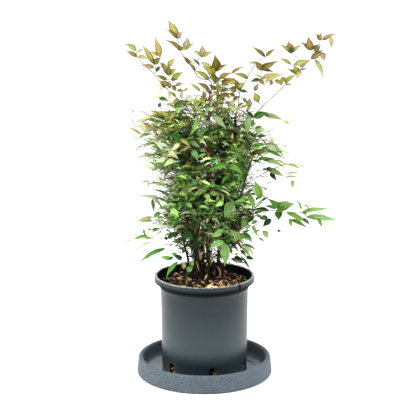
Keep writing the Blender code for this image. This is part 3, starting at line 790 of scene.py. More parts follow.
def cane_points(name, heights):
    """Centre of a cane at heights: a lean that grows with height, and a slight sway."""
    angle, foot_reach, tip_reach, tip_height, _ = CANES[name]
    heights = np.atleast_1d(np.asarray(heights, float))
    share = np.clip((heights - MIX_TOP_Z) / (tip_height - MIX_TOP_Z), 0.0, 1.0)
    reach = foot_reach + (tip_reach - foot_reach) * share ** CANE_LEAN_POWER
    heading = math.radians(angle)
    sway = 0.0022 * np.sin(heights * 21.0 + heading * 3.0) * np.sin(math.pi * share)
    x = CLUMP[0] + reach * math.cos(heading) - sway * math.sin(heading)
    y = CLUMP[1] + reach * math.sin(heading) + sway * math.cos(heading)
    return np.stack([x, y, heights], axis=-1)


# %% [markdown]
# Bark and nodes.
# Each cane swells at its foot and at every node, thins to its tip and has shallow ridges. Three barks are
# dealt out.

# %% Cane meshes
CANE_STEPS = 150
CANE_SIDES = 14
NODE_GAP = 0.031
RIDGES = 9
FIBRE_MM = 4.0
BARKS = {
    "dark_bark_cane": ("#060503", "#141009", "#3a2e1c"),
    "brown_bark_cane": ("#100c07", "#281e12", "#685236"),
    "red_bark_cane": ("#120a06", "#2a1910", "#5c3a26"),
}
CANE_BARK = {"left": 0, "right": 2, "far_right": 2, "middle": 1, "back": 0, "back_left": 0, "back_right": 1,
             "front": 1, "front_left": 0, "low_left": 1}

rng = np.random.default_rng(31)
lines = []
radii = []
for number, (name, (angle, foot_reach, tip_reach, tip_height, thickness)) in enumerate(CANES.items()):
    heights = np.linspace(CANE_FOOT_Z, tip_height, CANE_STEPS)
    share = np.clip((heights - MIX_TOP_Z) / (tip_height - MIX_TOP_Z), 0.0, 1.0)
    line = cane_points(name, heights)
    flare = 1.0 + 0.25 * np.exp(-(heights - MIX_TOP_Z).clip(0) / 0.012)
    radius = thickness / 2 * flare * (1.0 - 0.58 * share)
    radius = radius * (1.0 - 0.55 * np.clip((heights - 0.76) / 0.05, 0.0, 1.0))
    from_node = np.mod(heights + number * 0.011, NODE_GAP) - NODE_GAP / 2
    ring = 1.0 + 0.17 * np.exp(-(from_node / 0.0021) ** 2)
    ring -= 0.06 * np.exp(-((from_node - 0.005) / 0.003) ** 2)
    turn = np.linspace(0.0, 2.0 * math.pi, CANE_SIDES, endpoint=False)
    twist = turn[None] * RIDGES + (heights * 13.0)[:, None] + number
    places = np.stack([np.cos(turn)[None] * 0.008 + line[:, :1], np.sin(turn)[None] * 0.008 + line[:, 1:2],
                       np.repeat(heights[:, None] * 0.25, CANE_SIDES, axis=1)], axis=-1)
    relief = 1.0 + 0.035 * np.sin(twist) + 0.075 * waves(places, 0.007, 40 + number)
    lines.append(line)
    radii.append(radius[:, None] * ring[:, None] * relief * 0.96)


def bark_material(name, dark, middle, light):
    """Fissured bark: stretched noise over three browns, with a bump along the cane."""
    material, tree, shader = surface(name, Roughness=0.82, Specular_IOR_Level=PLANT_GLOSS)
    long_place = add(tree, "ShaderNodeMapping", {"Vector": place_outputs(tree)[0], "Scale": (1.0, 1.0, 0.22)})
    fibre = add(tree, "ShaderNodeTexNoise", {
        "Vector": long_place.outputs["Vector"], "Scale": per_metre(FIBRE_MM), "Detail": 6.0,
        "Roughness": 0.65}).outputs["Fac"]
    colour = ramp_tones(tree, fibre, ((0.36, dark), (0.55, middle), (0.74, light)))
    tree.links.new(colour, shader.inputs["Base Color"])
    bump = add(tree, "ShaderNodeBump", {"Height": fibre, "Strength": 0.8, "Distance": 0.0015})
    tree.links.new(bump.outputs["Normal"], shader.inputs["Normal"])
    return material


cane_mesh_points, cane_faces = tubes(np.array(lines), np.array(radii), CANE_SIDES)
faces_each = len(cane_faces) // len(CANES)
canes = make_piece("canes", cane_mesh_points, cane_faces,
                   [bark_material(name, *codes) for name, codes in BARKS.items()],
                   np.repeat([CANE_BARK[name] for name in CANES], faces_each))
finish_piece(canes, "cane_bark", *[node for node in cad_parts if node.startswith("cane_")])

# %% [markdown]
# One leaflet.
# A heavenly bamboo leaflet is a lance shape with a drawn-out tip, four to six times as long as wide and
# widest before the middle. The blade folds up along the midrib and the whole arches under its weight. It is
# given here by its base, its tip and the way its upper side faces. A row of cross-sections is placed on the
# arch.
# Each row has margin, blade and midrib bands, so the red edge and the pale rib are faces of their own.

# %% Leaflet shape
LEAF_ROWS = np.array([0.0, 0.10, 0.24, 0.40, 0.58, 0.79, 1.0])
LEAF_COLUMNS = np.array([-1.0, -0.70, -0.08, 0.08, 0.70, 1.0])
BAND_PARTS = np.array([[1, 0, 2, 0, 1]] * 6)
BAND_PARTS[:2, [1, 3]] = 3
BAND_PARTS[0] = 3
WIDEST = 0.1948
Leaves = namedtuple("Leaves", "base tip face width fold sag tone")


def square_to(vectors, chords):
    """The part of vectors square to the unit chords, scaled to length 1."""
    return unit(vectors - chords * (vectors * chords).sum(axis=-1, keepdims=True))


def leaf_points(leaves):
    """Points (count, rows, columns, 3) of leaflets: arched chord, lance outline, a fold and a slight wave."""
    chord = leaves.tip - leaves.base
    length = np.linalg.norm(chord, axis=-1)[:, None, None, None]
    along = unit(chord)
    face = square_to(leaves.face, along)
    lift = UP - along * along[:, 2:]
    bulge = unit(face * 0.4 + lift * 0.9)
    share = LEAF_ROWS[None, :, None, None]
    column = LEAF_COLUMNS[None, None, :, None]
    sag = leaves.sag[:, None, None, None]
    rise = 4.0 * sag * share * (1.0 - share) * length
    slope = 4.0 * sag * (1.0 - 2.0 * share)
    tangent = unit(along[:, None, None] + bulge[:, None, None] * slope)
    normal = square_to(face[:, None, None], tangent)
    side = np.cross(tangent, normal)
    outline = share ** 0.9 * (1.0 - share) ** 1.6
    half = np.maximum(outline / WIDEST, 0.03) * leaves.width[:, None, None, None] / 2.0
    fold = leaves.fold[:, None, None, None]
    ripple = 0.10 * np.sin(share * 11.0 + sag * 90.0) * column ** 2
    centre = leaves.base[:, None, None] + along[:, None, None] * share * length + bulge[:, None, None] * rise
    return (centre + side * half * column * np.cos(fold)
            + normal * half * (np.abs(column) * np.sin(fold) + ripple))


# %% [markdown]
# Leaf colours.
# New growth at the top of a heavenly bamboo is bronze with a red edge and turns green as it hardens. Leaflets
# deep inside the crown take dark tones as painted shade, some near the outline take pale tones as painted
# highlights, the tone called shade is painted shade for dark gaps, and a few leaflets fade to straw. Each
# tone is a plain colour for the blade, the edge, the rib and the deeper first third. A leaflet in the open
# catches more light than one in the crown, yet the photograph shows both alike, so the ones in the open have
# the same tones at two thirds of their light.

# %% Leaf tones
TONES = {name: codes for name, *codes in table("""
bronze #9b923b #7f4c1d #b0ab53 #756e21, buff #a4964c #8a562a #b5ae60 #847a2f,
umber #716719 #613a10 #8f872e #4f4d0e, rust #887732 #824120 #a3964d #5e5b1e,
mustard #8c9238 #7c6323 #a6ae58 #6d7527, olive #838f25 #7a681e #a6b145 #5d6a18,
moss #576613 #584711 #798829 #36440a, khaki #94a052 #8b783b #b0bb6f #758037,
green #5d8d30 #80a140 #8ab755 #416e20, fern #3a7512 #52881a #64a728 #265809,
pine #1b4c05 #295907 #377612 #0f3703, ivy #082902 #103003 #184507 #041c01,
mint #6fa045 #91b054 #93b76b #548934, apple #6ba24f #8dae5d #8fb56f #568e3a,
lime #81a84c #9fb062 #9ab887 #699437, washed #b4c89f #bec8a4 #cbd8bf #99b17e,
cream #bfcb91 #bfbc89 #c9d4aa #abbb74, ash #819760 #8e9e66 #a4b87d #647a48,
straw #bfab72 #af8659 #cabd95 #a89250, withered #381b0e #2b130b #4f311a #230d07,
mauve #97866b #835e4d #ac9e83 #776d42, sage #abc484 #b9ca8d #d0e3ac #8aa860,
cool #4b8b4d #709e60 #79b37f #396e3c, wine #73352c #602721 #8c4d3e #50211a,
shade #0f1904 #172206 #1e2e0b #0a1303, dead #24170d #1b1009 #342216 #150d07
""")}
TONE_NAMES = list(TONES)
STALK_TONES = {
    "tan_stalk": "#7c664a", "pink_stalk": "#7c4440", "green_stalk": "#4c5c22", "brown_stalk": "#33261a",
    "maroon_stalk": "#2c1812", "dead_stalk": "#16110a", "grey_stalk": "#5e5b50",
}
STALK_NAMES = list(STALK_TONES)
LEAF_SHINE = 0.42
LEAF_GLOSS = 0.20
OPEN_SHADE = 0.67


def leaf_material(code, share):
    """Leaf skin of one colour, at a share of its light."""
    colour = [value * share for value in linear(code)[:3]]
    name = "leaf_" + code[1:] + ("" if share == 1.0 else "_open")
    return surface(name, Base_Color=(*colour, 1.0), Roughness=LEAF_SHINE, Specular_IOR_Level=LEAF_GLOSS)[0]


leaf_codes = sorted({code for codes in TONES.values() for code in codes})
leaf_materials = [leaf_material(code, share) for share in (1.0, OPEN_SHADE) for code in leaf_codes]
tone_slots = np.array([[leaf_codes.index(code) + len(leaf_codes) * in_open for code in TONES[name]]
                       for in_open in (0, 1) for name in TONE_NAMES])


def tone(name, in_open=False):
    """Number of a leaf tone, in the crown's body or deeper for a leaflet in the open."""
    return TONE_NAMES.index(name) + len(TONES) * in_open


leaf_store = defaultdict(list)
stalk_store = defaultdict(list)
LEVEL_FLOORS = (("high", 0.80), ("upper", 0.66), ("middle", 0.52), ("lower", -1.0))


def level_of(height):
    """Name of the crown level that a height belongs to."""
    return next(name for name, floor_height in LEVEL_FLOORS if height > floor_height)


def keep_leaves(base, tip, face, width, fold, sag, tones):
    """Store leaflets given as arrays or single values, each under the level of its tip."""
    base = np.atleast_2d(base)
    count = len(base)
    values = [base] + [np.broadcast_to(value, (count, 3)) for value in (tip, face)]
    values += [np.broadcast_to(value, count) for value in (width, fold, sag, tones)]
    levels = np.array([level_of(height) for height in values[1][:, 2]])
    for name, _ in LEVEL_FLOORS:
        chosen = levels == name
        if chosen.any():
            leaf_store[name].append(Leaves(*[value[chosen] for value in values]))


def keep_stalk(line, start_radius, end_radius, tone_name, steps, joints=()):
    """Store a stalk through a line's points. It thins to its end and swells at joints, given as shares."""
    points = smooth_line(line, steps)
    share = np.linspace(0.0, 1.0, steps)
    radius = start_radius + (end_radius - start_radius) * share
    for joint in joints:
        radius = radius * (1.0 + 0.55 * np.exp(-((share - joint) / 0.016) ** 2))
    stalk_store[steps].append((points, radius, STALK_NAMES.index(tone_name)))


# %% [markdown]
# Traced sprays.
# The sprays that stand clear of the crown are drawn one by one. Each has a stalk, given as places in the
# picture and a depth at each end, and leaflets given by base and tip. A leaflet's base takes its depth from
# the nearest stalk or joint, and a thin stalk ties it there, so nothing hangs loose from any side. A leaflet
# is turned round its own length until it looks as wide as its width says, in pixels.

# %% Traced spray function
METRES_PER_PIXEL = DISTANCE / FOCAL_PX
STALK_STEPS = 30
TWIG_STEPS = 6
clear_spots = []


def picture_place(points):
    """Pixel places of points (n, 3)."""
    offset = np.asarray(points, float) - EYE
    depth = offset @ FORWARD
    across = PICTURE_MIDDLE + FOCAL_PX * (offset @ RIGHT) / depth
    down = PICTURE_MIDDLE - FOCAL_PX * (offset @ SCREEN_UP) / depth
    return np.stack([across, down], axis=-1)


def face_for_width(base, tip, shown_width, real_width):
    """The facing direction that shows a leaflet as wide as wanted, turned round its length from the lens."""
    along = unit(tip - base)
    to_lens = square_to(unit(EYE - base), along)
    turned_way = np.cross(along, to_lens)
    turned_way = turned_way * (1.0 if turned_way[2] >= 0.0 else -1.0)
    cosine = min(0.97, max(0.12, shown_width / real_width))
    return to_lens * cosine + turned_way * math.sqrt(1.0 - cosine ** 2)


def trace_spray(seed, cane, height, stalk, depths, stalk_tone, leaves, inside, thickness=0.0016,
                spread=0.018):
    """Build a spray from its cane, the picture places of its stalk and its list of leaflets.

    The places of its leaflets are kept clear of the leaves that grow in front later.
    """
    rng = np.random.default_rng(seed)
    start = cane_points(cane, height)[0]
    share = np.linspace(0.0, 1.0, len(stalk))
    line = [start] + [at_depth(*place, depths[0] + (depths[1] - depths[0]) * step)
                      for place, step in zip(stalk, share)]
    keep_stalk(line, thickness, thickness * 0.45, stalk_tone, STALK_STEPS, (0.35, 0.55, 0.75, 0.9))
    fine = smooth_line(line, 80)
    anchors = list(fine[8:])
    known = {}
    for base_x, base_y, tip_x, tip_y, shown, tone_name in leaves:
        key = (base_x, base_y)
        if key not in known:
            places = picture_place(anchors)
            gaps = np.hypot(places[:, 0] - base_x, places[:, 1] - base_y)
            nearest = anchors[int(np.argmin(gaps))]
            gap = gaps.min() * METRES_PER_PIXEL
            depth = nearest[1] + rng.normal() * min(spread, gap * 0.9)
            base = at_depth(base_x, base_y, depth)
            if gap > 0.001:
                middle = (nearest + base) / 2 + UP * gap * 0.06
                twig = min(thickness * 0.5, 0.0008)
                keep_stalk([nearest, middle, base], twig, twig * 0.75, stalk_tone, TWIG_STEPS)
            anchors.append(base)
            known[key] = base
        base = known[key]
        flat_length = math.hypot(tip_x - base_x, tip_y - base_y) * METRES_PER_PIXEL
        tip = at_depth(tip_x, tip_y, base[1] + rng.normal() * 0.22 * flat_length)
        length = float(np.linalg.norm(tip - base))
        shown_width = (shown * (0.98 if inside else 1.16) + 0.5) * METRES_PER_PIXEL
        real_width = max(shown_width, min(0.017, 0.27 * length))
        face = face_for_width(base, tip, shown_width, real_width)
        keep_leaves(base, tip, face, real_width, rng.uniform(0.12, 0.35), rng.uniform(0.03, 0.10),
                    tone(tone_name, not inside or tip[2] > 0.60))
        clear_radius = math.hypot(tip_x - base_x, tip_y - base_y) * (0.42 if inside else 0.30) + 1.5
        clear_spots.append(((base_x + tip_x) / 2, (base_y + tip_y) / 2, clear_radius, base[1]))


def draw_sprays(text, inside=False):
    """Trace sprays written as text, with an empty line between two sprays and a bar between a spray's parts.

    The first part is the seed, cane, height on the cane, depths at both ends, stalk tone and any setting. The
    second is the stalk's places. The third is the leaflets: place of the base, place of the tip, width, tone.
    """
    for spray in text.strip().split("\n\n"):
        heading, stalk, leaves = spray.split("|")
        (seed, cane, height, near, far, stalk_tone, *settings), = table(heading)
        settings = {word.split("=")[0]: float(word.split("=")[1]) for word in settings}
        trace_spray(int(seed), cane, height, table(stalk), (near, far), stalk_tone, table(leaves), inside,
                    **settings)


# %% [markdown]
# The left wing.
# One long young leaf stands out over the left shoulder. Its leaflets are bronze, and the last one is lime.

# %% Left wing
LEFT_WING = """
101 left 0.76 0.005 -0.035 tan_stalk |
187 107, 181 102, 169 91, 160 82, 154 73.5, 148 69, 137 57 |
136 50.5 124.5 44 5 lime, 137 57 126 51 3.6 rust, 138 52 144 49.2 1.2 buff,
138 57 148.8 58.8 3.2 khaki, 153.5 64 142.4 45.3 4.8 bronze, 160 57.5 155.2 37.3 5.2 buff,
154 64.5 160.8 57.5 5 moss, 158.5 55.5 150 52 2.8 bronze, 154 68 141 65.4 3.4 rust,
156 71.8 160.8 66 3.2 moss, 168.5 75.5 162.3 62 5 umber, 168.5 75.5 169.5 65.5 5 moss,
168.5 75.5 177.2 68.4 4.2 olive, 168 67 175.2 58.4 4 buff, 166.5 70.5 159.3 62 3.6 bronze,
166.8 80 156 75.3 3.2 moss, 172 80 183.6 72.3 4.8 olive, 171 80 178.4 79.2 2.6 moss,
175.5 86 183.6 83.4 3 khaki, 169 86.5 160 81.3 4.2 bronze, 169.5 88.5 168.8 80 3 buff,
172 85.5 175.6 91.5 3.6 rust, 162 89.5 153.8 83.8 2.8 cream, 165 88 158 80 3.2 mustard,
177 90.5 185 91 2.6 umber, 184.5 91 188.8 88.4 2 bronze, 172 93 169 100 4 cream,
181 98 183 90 3 washed, 176 96 167 92.5 3 khaki, 179 99 172 104 3 mustard,
186 99.2 193.8 97.4 3.6 washed, 159 98.2 168.6 101.2 3.4 pine, 160 98.5 152 97 2 cream,
159 107.2 161.4 102.8 3.2 pine
"""
draw_sprays(LEFT_WING)

# %% [markdown]
# The top sprays.
# Two sprays rise in the middle. The left one carries the topmost leaflet of the plant, and the trio at the
# right has one broad dark leaflet.

# %% Top sprays
TOP_SPRAYS = """
102 middle 0.835 0.018 0.012 brown_stalk |
212 86, 209 80, 199.5 78, 193.5 69.5, 188 62, 183 55.6, 180.5 50.5 |
177 38.6 168 20.2 6.8 bronze, 177 38.6 166.4 29.4 3 umber, 177.6 38.4 182.2 31.6 4.2 mauve,
180.5 50.3 165.3 40 3.2 umber, 181 50.5 177 45.3 4.2 rust, 181 49.6 186.5 47.3 2.6 olive,
186 49.6 187.8 37.3 6 mauve, 186 49.6 194.7 43 2.2 olive, 202.4 57 202.2 45 5.6 mauve,
202.4 57 193.2 50.8 3.2 lime, 202.4 57 212.8 51.5 3 mustard, 190.6 64.6 182.8 55.8 3.2 umber,
189 63.4 193.4 62 1.8 bronze, 195.2 70.6 189 63 2.6 umber, 199.6 65.4 191.8 58.2 1.9 pine,
208.6 79.2 194.4 70.4 4.2 olive, 211 69 200 62 4.2 khaki, 209 70 202 66.4 3.2 khaki,
212 75 205.6 66 4.6 bronze, 209 89.6 197 83 3.6 umber, 200.4 91.6 189.3 83 2.5 khaki,
208 99.5 198.4 98.2 2.6 olive, 204.5 97 202.4 91 4 straw, 208 101 215.6 93.4 2.6 olive

103 back 0.75 0.085 0.1 brown_stalk |
217 100, 217 88, 216 80, 215.4 72 |
215.3 71.6 214.6 54.8 8.6 umber, 215.4 71.6 227.6 64.4 3.2 umber, 214 74.6 209 64.6 4.6 olive,
216 80 210.5 73 4 umber, 219 79 231.8 72.8 4.2 bronze, 231.5 73.6 243.6 66.8 2.3 rust,
217 84 212.6 77.4 4.2 moss, 222 85 231.6 80 4.6 umber, 221 81 229 85.6 4.4 bronze,
217 92 225.4 86.4 3.6 olive, 216 90 208.4 84.6 3.6 umber, 219 96 212 91.4 3.8 bronze,
221 100 225.4 96.2 4 pine, 223 93 230.4 98.4 3.2 umber, 214 101 214.4 108 4 lime,
219 104 210 108 3.4 olive, 219 90 226.6 91.6 3.2 moss, 220 76 226 80 3 olive,
222.7 82.8 234.6 78.4 4.6 bronze, 231 87.4 236.8 91.2 3.8 umber, 215.5 86.4 223 92 4.4 bronze,
214.5 77.3 220 82 3.4 umber, 210 76.4 213.8 82 2.6 olive, 223.6 88 229.2 92 2.6 mint,
216 81 219 86.6 2.6 mint, 206.4 111 213.8 115.6 2.8 fern, 222 96 214.6 99.6 3 mustard,
225 102 233 106 3 olive, 212 94 205 90.4 2.8 umber, 218 108 226.4 111.6 3 moss,
226 94 219.6 100.4 2.8 rust, 211 104 203 108.6 3 mustard
"""
draw_sprays(TOP_SPRAYS)

# %% [markdown]
# The right top spray.
# A pink stalk leans out to the right and holds a pair of leaflets high over a row of olive ones.

# %% Right top
RIGHT_TOP = """
104 right 0.785 0 -0.012 pink_stalk |
238 107, 238.6 100, 240.4 91, 244.2 83.5, 248.5 75, 252.4 68.5, 256 63 |
265.4 57 252.4 46.8 3 moss, 265.8 56.6 275.2 48.8 2.8 umber, 262 70.4 254 61.2 5 umber,
262 70.4 278.4 60.8 4.6 umber, 262 70 273.8 72.6 2.2 pine, 256 63 247.8 63.5 1.6 buff,
262 69.4 268.8 62.2 4.2 moss, 248.4 79 232.8 73.8 3.4 olive, 260 79.6 250.2 82.2 3.2 pine,
263 79.2 252.8 73.4 1.3 khaki, 261 79.2 279.2 73.4 3.2 bronze, 259 79.8 265 85.6 3.2 umber,
265 82 284 74.4 3.2 khaki, 271.6 85 268.8 76.4 2.6 bronze, 275 80 282.4 85.4 3.2 olive,
281 85.4 282.6 75.8 3.2 mustard, 254.6 91 258.8 83.6 3.6 mauve, 240 91 248.2 92.6 2.6 pine,
233 99.6 240.2 96 2.6 moss, 240 91 233 78 5 moss, 237 82 227 83.6 4.2 bronze,
238 87.4 245 82.4 3.4 olive, 236 92 228 88 4 moss, 235 96 227.6 93.4 3 umber,
249 106.6 250 97.8 5 mauve, 238.6 106 244.4 103 2 moss, 232 102 228 108 3.4 rust,
243 98 247 104 2.6 fern
"""
draw_sprays(RIGHT_TOP)

# %% [markdown]
# The right wing.
# The longest young leaf leans out over the right side and ends in a long arch.

# %% Right wing
RIGHT_WING = """
105 right 0.715 -0.025 -0.058 tan_stalk |
262 107, 266 102.3, 272 97.5, 280 90, 286 83.8, 293.5 76.5, 301 69.5, 306 63.5, 311 58.7, 315.7 52,
319.5 44.5, 320 40.6 |
291 53 288 41.2 6.6 rust, 291 53 279.8 44.8 2.9 mustard, 291 53 301.4 44.9 3 mustard,
291 53.4 290.4 46.6 4.6 pine, 309.6 50.2 308 36.6 6.2 rust,
309.4 50.2 300.3 41.7 2.6 umber, 310.2 50 320.2 44.3 2.4 pine,
315 52.4 320.8 45.6 4 umber, 320 40.4 316.3 33.6 3.2 umber, 320 40.4 321.2 32.6 3.2 rust,
322.4 39.6 335.8 34.4 2.6 rust, 330.8 37 331 48.4 3.4 straw, 322.4 39.6 330.6 37.4 2.2 moss,
311 59 324.6 52.8 5 rust, 321.5 52.6 324.4 60.8 4.6 mauve, 318 52.6 323.4 51 1.6 mauve,
315 59.4 322.9 77.8 3.3 khaki, 293.4 65.4 310.6 60.2 4.2 khaki, 300 66.8 309.4 60.2 3.6 mauve,
291 64.6 279.3 58.1 2.6 olive, 297 74.4 294 65.8 6.6 olive, 294 73 287.8 69.2 2 moss,
301 70.6 296.4 78.8 3.6 straw, 301 70 307.4 69 1 mauve, 285 83.6 296.6 74.6 2.8 olive,
285.6 85 292.6 84.2 1.2 buff, 286 82 281.4 76.6 3.2 mustard,
257.6 101.6 254.3 92.3 6.2 mustard, 257.6 102.4 259 99.4 3 moss
"""
draw_sprays(RIGHT_WING)

# %% [markdown]
# The right side.
# Below the wing the leaves are green. A long one spreads level over the saucer at the right, and its last
# leaflet is the rightmost point of the plant.

# %% Right side
RIGHT_SIDE = """
106 far_right 0.665 -0.02 -0.06 green_stalk |
243 116, 250 117.6, 258 117 |
253.6 117.8 268.4 112.8 6.2 pine, 253.4 117.6 245.2 110 2.6 ivy,
264 115 282.6 119.3 4.6 ash, 249 113 247.5 136 5.6 ash, 254 121 252 128 3.6 mint,
283.4 121 297 121.6 1.2 cream, 285 122 290 125 2 washed, 256 128.4 264.6 129.8 3.2 lime,
256 128.4 258 134.6 3.2 lime, 256 127.6 262 126.4 1.6 moss, 248 120 254.6 124.4 2.6 fern,
258 137.4 266 136.6 1.8 pine, 250 140 259 141.8 2.4 ash

107 far_right 0.58 -0.04 -0.08 grey_stalk spread=0.03 |
246 150, 252 142, 256 137, 262 133.6, 270 130.8, 275 127.2 |
256 136.6 268.2 136.4 1.6 pine, 250 135 256.2 138.2 1.6 ivy, 272 142.6 273.4 138.2 3.4 straw,
253 148 268.4 144.4 3.6 fern, 265 144 283.4 155.2 6.4 ash, 278 149 292 157.2 1.6 sage,
250 154.4 272 150 4.2 moss, 262 148 276 152.6 4.2 fern, 258 158 286.6 168.6 3.8 ash,
287 164 302.4 169.6 2 khaki, 266 169 284.8 177.2 4.8 ash, 266 168.6 274 170.4 3.2 pine,
268 151 284 158.6 3 fern, 250 150 262 147.6 2.6 green, 262 146 254 143.6 2.2 fern,
276 160 288 166.6 1.6 khaki, 252 160.6 262 163.6 2 pine, 274 172.6 284.4 176.6 2.4 sage,
269.5 173.4 276.4 181.2 3.8 ivy, 247 158 258 157.4 3.4 olive

117 far_right 0.56 -0.04 -0.07 green_stalk thickness=0.0011 |
250 163, 262 160, 275 166, 285 172, 292 179 |
285 177.6 303 178.2 1.4 washed, 292 180 292.6 188.4 3.2 khaki, 288 174 300 172.6 1.4 khaki,
264 161 276 159 2.2 fern, 258 160.4 267 156.4 2.4 green

108 far_right 0.47 -0.02 -0.035 tan_stalk |
240 214.6, 250 214.2, 262 212, 274 210.6, 287 212.8, 300 212.4, 307 216.4 |
280 209.4 266.8 198.2 5 fern, 279 210 295.4 203.8 7 mint, 277 206 290 201.6 3.4 green,
274 204 284 205.4 3.6 moss, 288 204.6 280 214 4.2 fern, 276 209 263.6 206.2 2.6 pine,
258 209.4 270.4 211.2 3.6 pine, 262 211 254.8 213.2 3.6 lime, 279 210 278.5 220.4 7 fern,
286 212.4 309 224.4 4.6 green, 303 218 310.4 225.6 2.4 pine, 291 219.4 308.2 228.6 3.6 green,
289.4 219 291.2 227.4 3.2 mint, 301 210 296 199.8 1.9 green, 310 208.6 300.8 203.8 1.1 olive,
301 212.4 331.2 209.2 3.6 mint, 306 217 338.2 221 5.8 apple, 318 218.8 322.2 228.2 2.8 green,
302 213 307.6 215.4 1.6 washed, 303 213.6 313 208.6 3 green, 276 213 284 207.4 3.6 fern

109 far_right 0.52 -0.05 -0.09 green_stalk |
238 200, 246 192, 255 190, 260 198 |
260 199 254.4 180.2 7.4 green, 247 193 255.2 210.4 4.8 mint, 240 203 252 206 3.2 fern,
262 200.6 258 206 3 mint

110 far_right 0.44 -0.05 -0.08 green_stalk |
236 224, 246 218, 258 217, 268 217.6 |
268 217.6 258.8 219.4 4.2 pine, 271.4 219.6 262.8 227.2 5.2 ivy,
254 216 247 224.2 4.2 pine, 257.4 221 250.8 224.4 3.2 mint,
247 219 241.8 229.4 4.6 mint, 252 225.6 257.4 237.2 3 green, 263 230.8 267.4 238.8 5.2 lime,
258 237.8 265.2 243.2 1.8 green, 277 230.4 281.2 232 2.2 pine
"""
draw_sprays(RIGHT_SIDE)

# %% [markdown]
# The left side.
# The left edge catches the lamp, so its leaves look straw and pale green, and the ones below the crown
# arch down beside the pot.

# %% Left side
LEFT_SIDE = """
111 back_left 0.65 0 -0.02 tan_stalk spread=0.025 |
178 126, 167 125, 158 124, 148 126 |
152 117.4 136 120.6 2.6 cream, 146 121 135 122.6 2.2 buff, 134.4 126 127 114.6 0.8 washed,
149 131 133.6 126 3.6 cream, 141 134.4 127.4 127 2.2 khaki, 143 138 129.6 141 2.6 washed,
150 127 140 131.2 4 cream, 150 134 138.6 136.6 2.6 ash, 160 116.6 149.6 116 2.8 rust,
166 119.6 154 117.4 3 pine, 159 113.2 149.6 111.8 2 mustard, 170 117 160 111.8 3.6 mustard,
167 125 149.6 121 3.2 fern, 157.6 136 151.6 128.6 2.2 rust, 160 130 148 126.4 3.4 straw,
163 141 150 132.4 4.2 cream, 160 146 147 137.4 3.6 khaki, 175 107.4 184.6 106.4 6.2 lime,
176 112.4 182 107.4 4.2 lime, 174 106 183.4 103.2 3 pine, 183 101 195.2 107.2 3.4 pine,
150 118.6 137.6 122.4 2.6 washed, 155 121 143 118.4 2.4 rust, 158 131 146 127.4 3 washed,
155 128.4 143 132.6 2.8 sage, 151 126.6 141 123.4 2.4 buff, 160 137.4 149 134.2 3 sage,
162 140 149 142.2 2.4 washed, 156 133.4 147 139.4 2.4 washed, 163 134 156 128.4 2.6 khaki,
165 122 154.6 125.4 2.8 khaki, 167 130.6 158.6 126.6 2.6 mustard

112 back_left 0.56 0.02 -0.01 green_stalk spread=0.03 |
176 160, 168 156, 158 153, 150 155 |
155 154.4 133.8 159.6 2.6 washed, 149 156.2 143.8 152.8 2.8 ash, 164 170 153 163.6 4.2 ash,
162 163 152.6 166.8 4 ash, 171 169.6 163.8 177.8 2.8 pine, 170 165 164.6 172.6 4.6 mint,
160 183 146.8 184.6 1.6 ash, 168 195 150 189.8 1.8 ash, 161 199.4 135.8 195.8 3.2 washed,
152 199 153.6 212.4 3.2 mint, 171 203 165.6 198.2 4 ivy, 160 204 151 197.6 3 washed,
160 148.4 149 146 2.8 washed, 163 153.4 153 149.6 3 sage, 166 158 156 160.6 3.6 ash,
168 163 159.6 169.4 3.6 ash, 172 168 163 172.6 3.6 sage, 158 166 152.6 172.6 2.4 ash,
176 176 167 180.4 2.8 ash, 175 190.6 162.6 192.2 2.6 washed, 172 196.4 160 193.6 2.6 sage,
168 206 156.6 210 2.8 washed, 177 184 168.6 186.6 2.6 washed, 150 181.4 140 182.6 1 khaki,
149 182 148.6 187.4 1.4 sage

113 low_left 0.395 0 -0.01 green_stalk |
180 214, 168 212, 160 212.6 |
153 217.4 134.8 223.6 3 khaki, 152.6 220.6 139 223 2.4 khaki, 161 213 152.6 218.2 4.2 fern,
170 217 162 214.4 3.2 pine, 164 224 156 226.4 2.6 washed, 176 219 168 220.4 2.6 mustard,
177 213 166 209.6 2.8 mint, 165 221.6 155 219 2.2 sage, 172 225.6 163 229.4 2.8 washed,
170 211 161 207.4 2.4 sage

114 low_left 0.42 -0.01 -0.03 grey_stalk |
178 226, 168 226.6, 158 228.6, 150 234 |
144.6 234.4 142 227.8 2.2 mint, 147 236 132.2 240.2 3 green, 132.6 240 115.8 244.6 1.3 washed,
151.4 230.2 146.6 229.2 1.6 fern, 151 242 129 257.2 2 washed, 168 238.4 178.6 230.8 4.2 pine,
152 240 154.6 233.6 3.4 washed, 148 236.4 141.6 235 1.6 olive, 151 238.6 140 237.4 2.4 mint,
160 228 152.4 232.6 1.8 mint, 162 231 155 236.6 2 washed, 152 230.6 158 227.4 1.8 pine

115 front_left 0.37 -0.06 -0.08 grey_stalk |
183 250, 177 245.4, 166 245, 160 245.6 |
166 248.6 138.4 263.6 3.8 fern, 150 256 143 259.4 2.6 lime, 171 259.4 159.8 256.8 4.2 mint,
177 255.6 170.4 253.2 2.8 fern, 182 259.6 172.8 255.6 4.4 ivy, 173 257 168.6 260.4 3 pine,
197 244.4 185.6 246.4 4.6 pine, 185 249 182.4 253.8 3.4 ivy,
195.6 256 187.8 257.2 2.4 ivy, 178.5 262 166 278.8 3.2 fern,
184 269.2 183 260.2 3.6 khaki, 190 237 180 232.6 4.6 ivy, 188 232 183 241 4.6 pine
"""
draw_sprays(LEFT_SIDE)

# %% [markdown]
# The low front.
# A fresh trio hangs at the foot of the crown in front of the canes, with faded leaflets beside it.

